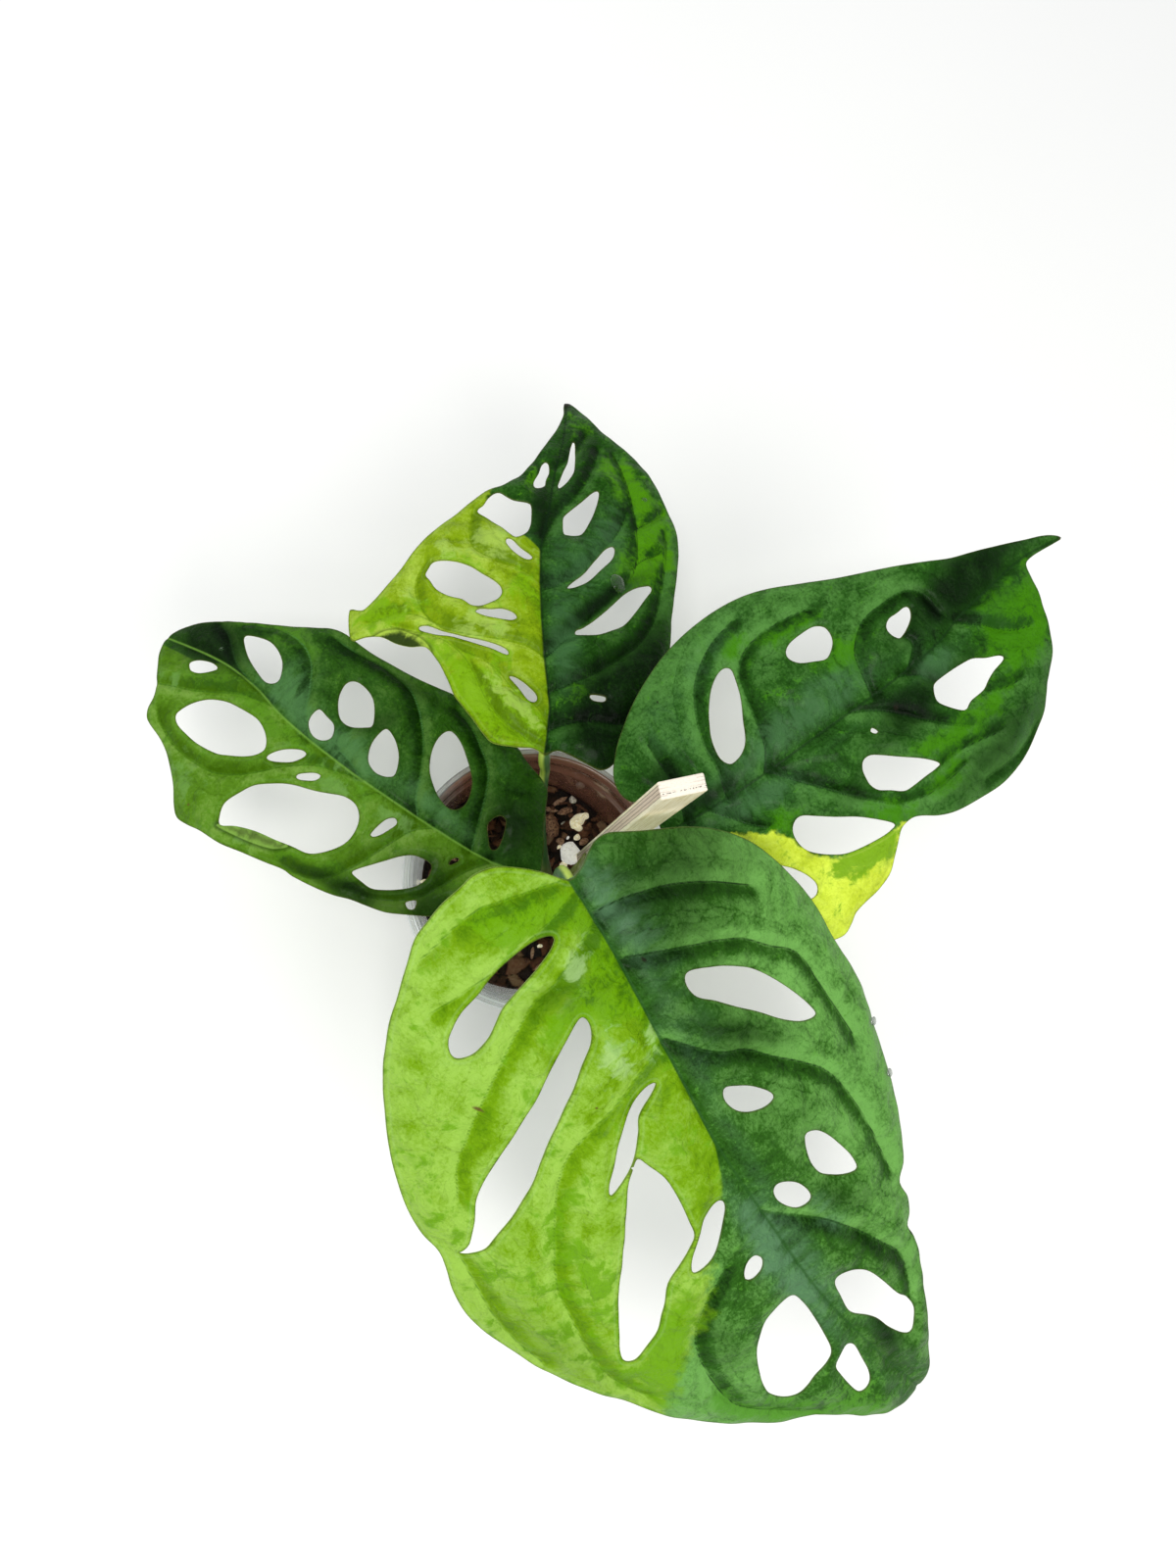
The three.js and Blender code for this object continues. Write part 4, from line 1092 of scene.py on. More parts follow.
        surface = shell(sheet, top, bottom)
        numbers = {"edge": sheet.edge, **veins, **self.marks_at(plane)}
        surface.numbers = {name: np.tile(values, 2) for name, values in numbers.items()}
        surface.numbers["under"] = np.repeat([0.0, 1.0], len(plane))
        surface.plane = np.tile(plane, (2, 1)) / 10
        return surface

    def stalk(self) -> Surface:
        """Builds the stalk: a ring carried from the stem up to the blade and along under its midrib, with a
        shallow channel above, a wider foot that sheathes the stem, and a swollen joint below the blade.
        """
        x = np.array([3.0, 8.0, 15.0, 24.0])
        sink = np.array([3.0, 2.8, 2.3, 1.7])
        under_rib = np.column_stack([x, self.midrib_at(x)])
        neck = self.to_world(under_rib, self.height_at(under_rib) - sink)
        path = smooth_line(np.vstack([self.shape.petiole, neck]), 9)
        t = np.linspace(0, 1, len(path))
        reach = lengths_along(path)
        left = reach[-1] - reach
        radius = self.stalk_radius * (1 - 0.08 * np.sin(math.pi * t))
        radius += 0.55 * bell(reach, 9) + 0.3 * bell(left - 27, 6)
        radius *= np.clip(left / 16, 0.2, 1) ** 0.7
        sides = 20
        channel = 1 - 0.2 * bell(angles(sides) - math.pi / 2, 0.45)
        heading = math.radians(self.shape.heading)
        return swept(path, radius[:, None] * channel, sides, (-math.cos(heading), -math.sin(heading), 0.35))

    def drop(self, x: float, y: float, radius: float) -> Surface:
        """A water drop: a dome 0.45 radius high whose rim sinks 0.3 mm into the blade."""
        tilt = np.linspace(0.06, 0.5, 10)[:, None] * math.pi
        angle = -angles(24)
        out, up = radius * np.sin(tilt), 0.45 * radius * np.cos(tilt)
        plane = np.stack([x + out * np.cos(angle), y + out * np.sin(angle)], axis=-1).reshape(-1, 2)
        relief, _ = self.relief_at(plane, np.full(len(plane), self.drop_edge))
        ground = self.height_at(plane) + relief + 0.5 * self.thickness
        dome = self.to_world(plane, ground + ((up + 0 * angle).ravel() - 0.3))
        return rolled(dome.reshape(len(tilt), len(angle), 3))

    def build(self, water: bpy.types.Material) -> None:
        """Adds the blade, the stalk and the drops to the scene, dressed."""
        skin = self.finish.material(f"{self.node}_skin")
        add_piece(f"{self.node}_blade", self.blade(), skin, self.node, self.slot)
        stalk_skin = self.stalk_finish.material(f"{self.node}_stalk_skin")
        add_piece(f"{self.node}_petiole", self.stalk(), stalk_skin, self.node, self.slot)
        for number, (x, y, radius) in enumerate(self.shape.drops, 1):
            add_piece(f"{self.node}_drop_{number}", self.drop(x, y, radius), water, self.node)


# The four leaves, as measured


FRONT_LEAF = LeafShape(
    midrib=(
        (-20, 0), (0, -1), (20, -3), (50, -7.5), (80, -11.5), (110, -12.2), (140, -11.7), (170, -8),
        (206, -1.5),
    ),
    outline=(
        (0, -0.5), (-1.2, 4), (-3.2, 7.5), (-4.5, 11), (-4, 15), (-1, 19.5), (3, 25.5), (8, 33), (14, 40),
        (20, 45), (28, 49.5), (38, 52.5), (52, 55), (66, 54), (76, 54), (84, 53), (90, 51.5), (96, 49.5),
        (103, 46.8), (110.4, 43.8), (118.6, 40.4), (126.6, 36), (132.5, 31.8), (136, 27.2), (142, 27),
        (146, 25), (149, 22), (154, 22), (160, 20.5), (166, 18.2), (175, 14.5), (185, 10.5), (195, 7),
        (201, 5), (204.5, 2.5), (206.5, -1.2), (206.8, -5), (206, -10), (204, -14), (200, -17.7),
        (195, -21.5), (190, -25), (185, -29), (181, -33), (179, -35.8), (177.5, -38.7), (175.4, -42.4),
        (170.4, -47.6), (164.5, -53.4), (157.7, -59.6), (150, -65.5), (138.3, -72.8), (127.2, -79.8),
        (115.3, -86), (105, -89.6), (96, -92.2), (87, -93), (79, -91.8), (72, -89.3), (66, -87.9),
        (60, -88.6), (52, -87.6), (42, -84.4), (34, -81), (25, -76), (15, -69.6), (5, -61), (0, -55),
        (-5, -49), (-10, -42.5), (-12.5, -37), (-14.3, -31), (-15.3, -25), (-16, -20), (-14.7, -15),
        (-11, -10), (-6, -5.3), (-1.5, -2.2),
    ),
    holes=(
        ((8.5, -13.5), (10.5, -16), (12.5, -22), (14, -30), (15.5, -35), (18, -39), (20.5, -43), (22, -48),
         (21, -52), (19, -52.8), (16, -51.4), (14, -49), (11.3, -44), (9.5, -38), (7.8, -33), (6.7, -27),
         (6.5, -21), (7, -16)),
        ((29, -21), (30.3, -19.8), (33, -20.5), (36, -23), (39, -28), (42.5, -33.1), (46, -38.6),
         (50.5, -45.1), (55.6, -51.5), (60.7, -58.4), (65.6, -67.5), (68.6, -73.6), (70.6, -78.2),
         (69.8, -83.8), (67.6, -79.8), (61.7, -74.7), (56.6, -70.6), (52.5, -65.6), (48.4, -58.7),
         (45, -52), (40, -42.5), (35, -34), (31, -26)),
        ((55.3, -15.2), (57, -18), (59.5, -24), (63, -26.8), (66.8, -30.4), (70.4, -35.2), (73, -42),
         (70.5, -41.3), (66, -36.7), (60, -30), (56, -23.5), (54.5, -18)),
        ((68.6, -31), (72, -29.8), (78, -28.2), (85, -28.7), (92, -29.9), (97, -31), (99.6, -34.6),
         (101.8, -39), (105, -44.3), (111, -49.5), (117, -54.5), (121, -60), (123, -64), (121.5, -66.5),
         (117, -65.5), (110.3, -62.1), (100.4, -56.7), (90.4, -49.4), (80.4, -42.4), (73.9, -37.6),
         (70.8, -34.1)),
        ((93.5, -20.2), (95, -19.3), (97.3, -20.3), (100.3, -23.2), (103.3, -26.4), (106, -30),
         (107.3, -33.3), (107, -36.4), (105.5, -37.2), (102.8, -35.6), (100, -32), (97.4, -29.2),
         (94.7, -26.4), (93.4, -23)),
        ((114.5, -21), (117, -19.8), (119.5, -21.5), (120.3, -25), (119.2, -26.7), (117, -26),
         (114.8, -23.8)),
        ((134.5, -18.5), (138, -17.5), (145, -17), (155, -17.5), (161, -18.5), (163.3, -21.5), (164.7, -26),
         (167, -30), (168, -33.5), (166, -37), (162, -39.5), (157, -40.2), (150, -39), (141, -35.5),
         (135, -30), (133, -25), (133.2, -21)),
        ((164.3, -14), (166, -12.2), (169, -11.7), (175, -12), (181, -12.3), (185, -13.5), (186.2, -16),
         (184.5, -18.5), (179, -19.5), (172, -20.1), (167.5, -20), (165.2, -17.2)),
        ((37.5, 9), (38.5, 12), (42, 17.5), (46, 22), (51, 26), (58, 29.5), (66, 32.5), (72, 34),
         (75, 34.2), (74.5, 31.8), (71.5, 28), (66, 23.5), (60, 19.5), (54, 15), (48.5, 11.2), (45, 8),
         (42, 7), (39, 7.3)),
        ((69.2, -0.5), (71, 2.2), (74, 5.5), (78, 8.3), (80.6, 9), (81.3, 7.6), (80.8, 4), (79, 0.5),
         (76, -2), (72.5, -2.8), (70, -2)),
        ((95.8, 10.5), (98, 13.5), (103, 16), (110, 17.8), (115, 18.4), (118.2, 17.6), (115.4, 12.8),
         (111.5, 9), (108, 7.3), (103, 7.1), (98, 8.8)),
        ((101.8, -4.5), (103, -2), (106, 0.5), (110, 1.8), (113, 1.7), (114, -0.2), (113, -3.3),
         (110, -5.5), (106, -6.8), (103, -6.3)),
        ((141.3, -5.3), (142, -2), (144, 1), (148, 3.8), (155, 5.8), (163, 7.5), (168, 9.5), (173, 10),
         (177, 8), (180.3, 5.2), (178, 2.5), (172, 0), (166, -1.5), (161, -3.8), (157, -6.7), (153.5, -7.6),
         (148, -7.2), (143, -6.8)),
    ),
    petiole=((4.9, -2.9, 84), (3.4, -4.6, 98), (0.6, -4.4, 130), (-2.2, -3.2, 160), (-2.9, -3.9, 172)),
    furrows=(
        ((10, -1), (12, 8), (17, 20), (25, 31), (34, 40)),
        ((24, -2), (35, 18), (42, 28), (50, 34), (58, 40), (70, 41), (90, 41)),
        ((48, -6), (60, 3), (65, 10), (72, 15), (80, 21), (90, 27), (105, 29), (130, 27)),
        ((106, -12), (117, -3), (125, 3), (135, 8), (145, 12), (155, 15), (170, 11)),
        ((-1, -2), (-7, -20), (-8, -28), (-5, -45)),
        ((3, -2), (6, -20), (8, -50)),
        ((12, -3), (18, -20), (20, -30), (33, -52), (45, -68), (55, -75)),
        ((48, -8), (53, -25), (57, -42), (65, -53), (85, -66), (98, -70), (122, -73), (138, -68)),
        ((70, -84), (95, -87.5), (112, -85)),
        ((112, -30), (120, -42), (128, -48), (140, -50.5), (152, -50.5), (162, -47), (180, -32)),
    ),
    lime=(
        ((-40, 0), (0, -1.2), (20, -3.4), (50, -8), (80, -12.2), (84, -14), (90, -17.5), (98, -24),
         (107, -32), (110, -35), (115, -37), (120, -40), (125, -46), (130, -53), (135, -58), (140, -62),
         (146, -68), (150, -74), (160, -110), (-40, -110)),
    ),
    ripe=(
        ((-8, -29.5), (-7, -22), (-3.5, -10.5), (1.5, -2), (13, -1), (28.5, -3), (40.5, -5), (55, -7),
         (53, -11), (46.5, -11.5), (40.5, -9.5), (35.5, -11), (34.5, -16.5), (30, -19), (28.5, -22.5),
         (31, -27.5), (31.5, -33.5), (26, -31), (22.5, -25), (19.5, -18), (20, -11), (15, -8.5), (13, -6),
         (10.5, -8), (7.5, -13.5), (6, -19), (5, -25), (1, -29)),
        ((113, -58), (111, -50), (110, -41.5), (115, -42), (125.5, -49), (136, -56), (138, -62),
         (128, -64)),
    ),
    fresh=(
        ((147, -50.5), (157, -46), (174, -31.5), (192, -14.5), (208, -10), (192, -30), (170, -50),
         (154, -56)),
    ),
    patches={
        Tone.SHEEN: (
            Patch(9, 4, 12, 5, -8, 0.9), Patch(22, 7, 14, 6, -15, 0.4), Patch(52, 4, 22, 6, -8, 0.3),
            Patch(112, -16, 14, 5, -10, 1), Patch(132, -14, 22, 7, 5, 0.9), Patch(120, 3, 9, 4, 10, 0.8),
            Patch(42, -20, 8, 5, -40, 0.9), Patch(17, -13, 6, 3, -60, 0.8), Patch(46, -10, 6, 3, -40, 0.6),
        ),
        Tone.BRIGHT: (Patch(184, -22, 12, 10, -20, 0.7),),
        Tone.APPLE: (Patch(98, -64, 44, 16, 5, 0.42), Patch(142, -58, 24, 12, 30, 0.55)),
        Tone.DEEP: (
            Patch(12, 26, 26, 26, 0, 0.75), Patch(60, 8, 40, 12, 8, 0.35), Patch(118, 8, 10, 4, 40, 0.6),
            Patch(62, 14, 16, 4, 45, 0.5), Patch(172, -2, 14, 5, -8, 0.9), Patch(150, 10, 16, 4, 25, 0.5),
            Patch(130, -42, 16, 6, 0, 0.4), Patch(112, -78, 36, 10, 14, 0.35),
            Patch(22, -22, 5, 12, -20, 0.4),
        ),
        Tone.SCAR: (
            Patch(35, -56, 2.2, 0.7, 30, 0.9), Patch(50, -31.5, 0.5, 0.5),
            Patch(27.5, 2, 1.1, 0.8, 20, 0.9), Patch(152, 22, 2.2, 0.8, 0, 0.9),
        ),
    },
    drops=((93, 49.3, 1.3), (107.5, 43.9, 1.2)),
    base=(-0.9, -6, 178), heading=-53, pitch=-18.7, length=205.7,
    arch=16, droop=18, half_width=62, fold=3,
)
LEFT_LEAF = LeafShape(
    midrib=(
        (-20, 0), (0, 1), (12, 5.2), (30, 7), (60, 7.5), (80, 6.5), (95, 4.6), (107, 1.6), (122, 0.5),
        (144, 3.2),
    ),
    outline=(
        (1, 2.5), (-2, 4.5), (-5, 9), (-5.5, 15), (-2, 21), (4, 25.6), (11, 28.4), (18, 30), (22, 32.2),
        (27, 35), (32, 37.5), (38, 39), (43, 40.2), (48, 42), (54, 43.3), (62, 44.3), (66, 44.2),
        (72, 45.5), (80, 47), (88, 48.6), (96, 48.8), (101, 49.5), (105.5, 49.5), (108.5, 47), (112, 42),
        (116, 38), (120, 34.6), (124.5, 32), (130, 30), (132.8, 28.6), (134.2, 26), (134.4, 22),
        (136.3, 18), (140, 13), (143, 8.5), (144.2, 4), (143, 0), (140, -4), (135, -8.6), (129, -12.5),
        (121, -17), (112, -21.6), (105, -26), (100, -29), (95, -30), (87, -29.5), (78, -30), (68, -31),
        (60, -32.5), (53.5, -33.8), (48, -32.3), (42, -31.3), (34, -31.8), (27.5, -31.2), (24, -29.6),
        (19.2, -28.1), (15, -27), (12, -25.4), (10.6, -23.6), (9.4, -21.2), (7.2, -16.8), (5, -13),
        (3, -10.3), (0.6, -6.2), (-0.8, -3.4), (-1.4, -1.2),
    ),
    holes=(
        ((24.6, 31.4), (26, 32.4), (27.8, 31.4), (26.9, 30), (25.6, 28.9), (24.8, 29.8)),
        ((26.4, 20), (26.8, 23), (28.5, 26), (31, 28.5), (35, 31.5), (39, 33.6), (43, 33.6), (46.8, 33.1),
         (46, 31), (43, 27.5), (40, 24), (37, 20.5), (34, 18), (30.5, 17), (27.6, 17.2)),
        ((22, 12.5), (23.2, 14), (23.4, 12), (22.3, 10.5), (21.5, 11)),
        ((43.8, 12.8), (44.5, 15.2), (46, 18.5), (47.5, 20.3), (48.5, 20.1), (48.3, 17.3), (47.5, 14),
         (46.4, 12.3), (45, 11.6)),
        ((53, 24), (53.8, 27.5), (56, 31), (59, 34.3), (62, 36), (67, 36.8), (73, 38), (80, 39.2),
         (86, 41.2), (90.8, 43.7), (92.6, 41.5), (93.3, 37.6), (91.5, 33), (88, 27.7), (83, 24), (78, 21),
         (72, 19), (66, 16.5), (62, 14.9), (58, 15), (55, 17), (53.4, 20)),
        ((72.2, 13.8), (73, 16), (76, 18), (78, 18.5), (78.5, 17.4), (76.5, 15.5), (74, 13.8)),
        ((80, 10.7), (80.7, 12.7), (83, 15.5), (87, 18.2), (89.6, 18.6), (89.4, 16.8), (87, 13.5),
         (84, 11.2), (81.5, 10.2)),
        ((91.8, 16.5), (93, 19.5), (96, 22), (101, 24.5), (105, 26), (112, 26.7), (118, 26), (122, 25),
         (124, 23), (123.5, 20.5), (121.5, 16.5), (118, 13), (113, 10.7), (108, 10), (101, 9.8), (97, 11),
         (93.5, 13.5)),
        ((122, 3), (123.2, 5), (126, 7.4), (128.8, 8.3), (130.5, 7.5), (131.2, 6), (129, 3.9), (125, 2.5)),
        ((53.3, 0), (54.5, 2), (57, 3), (59.5, 3), (62.5, 1.5), (64.5, -2), (65.2, -5.8), (64.6, -10),
         (62.8, -10.4), (59, -8.5), (55.5, -5)),
        ((76.7, 1.5), (78, 3.8), (80.5, 4.7), (83.5, 3.9), (86, 1.5), (86.3, -1.5), (85.3, -3.7), (82, -3),
         (78.5, -2)),
        ((68.5, -9), (70, -7), (74, -4.6), (77.5, -4.6), (80.5, -7), (83, -11), (84, -15.3), (82.5, -17.8),
         (79.5, -18.3), (75, -17), (71.5, -14)),
        ((102.2, -5), (103, -2.6), (105.5, -1.6), (109, -2.5), (115, -5), (119, -7.8), (121.3, -10.2),
         (120, -11.8), (114, -13.5), (109, -12.5), (104.5, -9.5)),
        ((30, -5), (31, -2.2), (33, -0.9), (36, -1.2), (40, -3), (45, -7), (48, -12), (49.3, -17),
         (48.8, -21), (47, -22.3), (43, -21), (38, -17.5), (33, -13), (30.8, -9)),
        ((13.7, 0), (14.5, 1.9), (16, 1.7), (18, -0.5), (20.5, -3.7), (20, -7), (18.3, -8.7), (16.4, -8),
         (14.8, -4.5)),
    ),
    petiole=((6.1, -2.7, 66.5), (1.6, -1.6, 72), (-0.7, -0.8, 88), (-1, -0.4, 101)),
    furrows=(
        ((13, 5.5), (18, 13), (21.5, 21), (25, 27), (31, 32.5), (38, 36), (46, 38.5)),
        ((34, 7.2), (39, 12), (42, 19), (45, 26), (48, 32), (52, 38), (58, 42), (66, 43.5)),
        ((64, 8), (70, 10), (76, 12), (83, 17), (90, 24), (96, 28.5), (103, 31.5), (112, 32), (120, 31),
         (127, 28), (131, 25)),
        ((100, 4), (110, 6), (118, 10), (125, 13.5), (131, 15.5), (136, 17.5)),
        ((72, 40.5), (80, 43), (91, 44.5)),
        ((20, 6.2), (23, -2), (26, -10), (30, -18), (36, -23), (43, -27.5), (50, -30)),
        ((40, 6.8), (44, 2), (47, -5), (51, -12), (55, -17), (60, -22), (66, -26), (73, -27.5), (82, -27.5),
         (90, -26.5), (97, -27)),
        ((82, 6), (88, 0), (92, -7), (95, -12), (98, -15.5), (103, -18.5), (110, -19.5), (117, -18),
         (124, -14.5)),
        ((106, 1.5), (116, -1), (121, -4), (126, -8), (131, -10)),
        ((62, 7), (68, 4.5), (72, 3.5), (74.5, 0.5), (73, -3)),
    ),
    lime=(
        ((-30, 0), (0, 1.2), (12, 5.4), (30, 7.2), (60, 7.7), (80, 6.7), (95, 4.8), (107, 1.8), (122, 0.7),
         (126, 4), (131, 5), (143, 6), (160, 10), (160, 70), (-30, 70)),
    ),
    turned_over=(
        ((72, 40.6), (80, 43), (91, 44.6), (91, 43.4), (86, 40.8), (80, 38.6), (72, 37.6), (68, 37.4)),
    ),
    ripe=(
        ((54, 9), (70, 8.5), (90, 7), (104, 4), (120, 3), (130, 8), (128, 14), (116, 9), (100, 9), (84, 12),
         (66, 12), (56, 12)),
        ((16, 16), (30, 22), (44, 30), (60, 38), (74, 40), (70, 44), (52, 41), (34, 33), (18, 24)),
    ),
    fresh=(
        ((128, -13), (118.5, -19), (109, -22), (100, -18.5), (97.5, -15), (105, -17), (113, -16.5)),
    ),
    patches={
        Tone.DEEP: (
            Patch(43, 38, 9, 4, 10, 1), Patch(18, 29, 11, 6, 30, 1.1), Patch(30, 20, 10, 5, 40, 0.5),
            Patch(60, 41, 12, 2.5, 8, 0.6), Patch(129, -3, 14, 9, 10, 1.3), Patch(14, -9, 12, 12, 0, 0.9),
            Patch(30, 24, 26, 12, 30, 0.45), Patch(70, -27, 24, 3, 2, 0.6), Patch(66, -12, 10, 4, 60, 0.5),
        ),
        Tone.SHEEN: (
            Patch(37, 1, 12, 4, -10, 0.9), Patch(66, 2, 12, 6, -10, 1), Patch(90, 0, 18, 5, -10, 1),
            Patch(30, -24, 9, 4, -30, 0.5), Patch(98, -8, 8, 8, -30, 0.6), Patch(44, 12, 9, 3, 0, 0.9),
            Patch(68, 15, 8, 4, 0, 0.8), Patch(112, 38, 10, 8, 0, 0.6), Patch(84, 44, 12, 2.5, 5, 0.5),
            Patch(132, 14, 6, 4, 0, 0.6),
        ),
        Tone.SCAR: (Patch(103.5, 44, 0.7, 0.5),),
    },
    drops=((125, -3, 0.9),),
    base=(-3.1, 0.9, 106), heading=144.7, pitch=-7.1, length=146.3,
    arch=12, droop=10, half_width=42, fold=2,
)
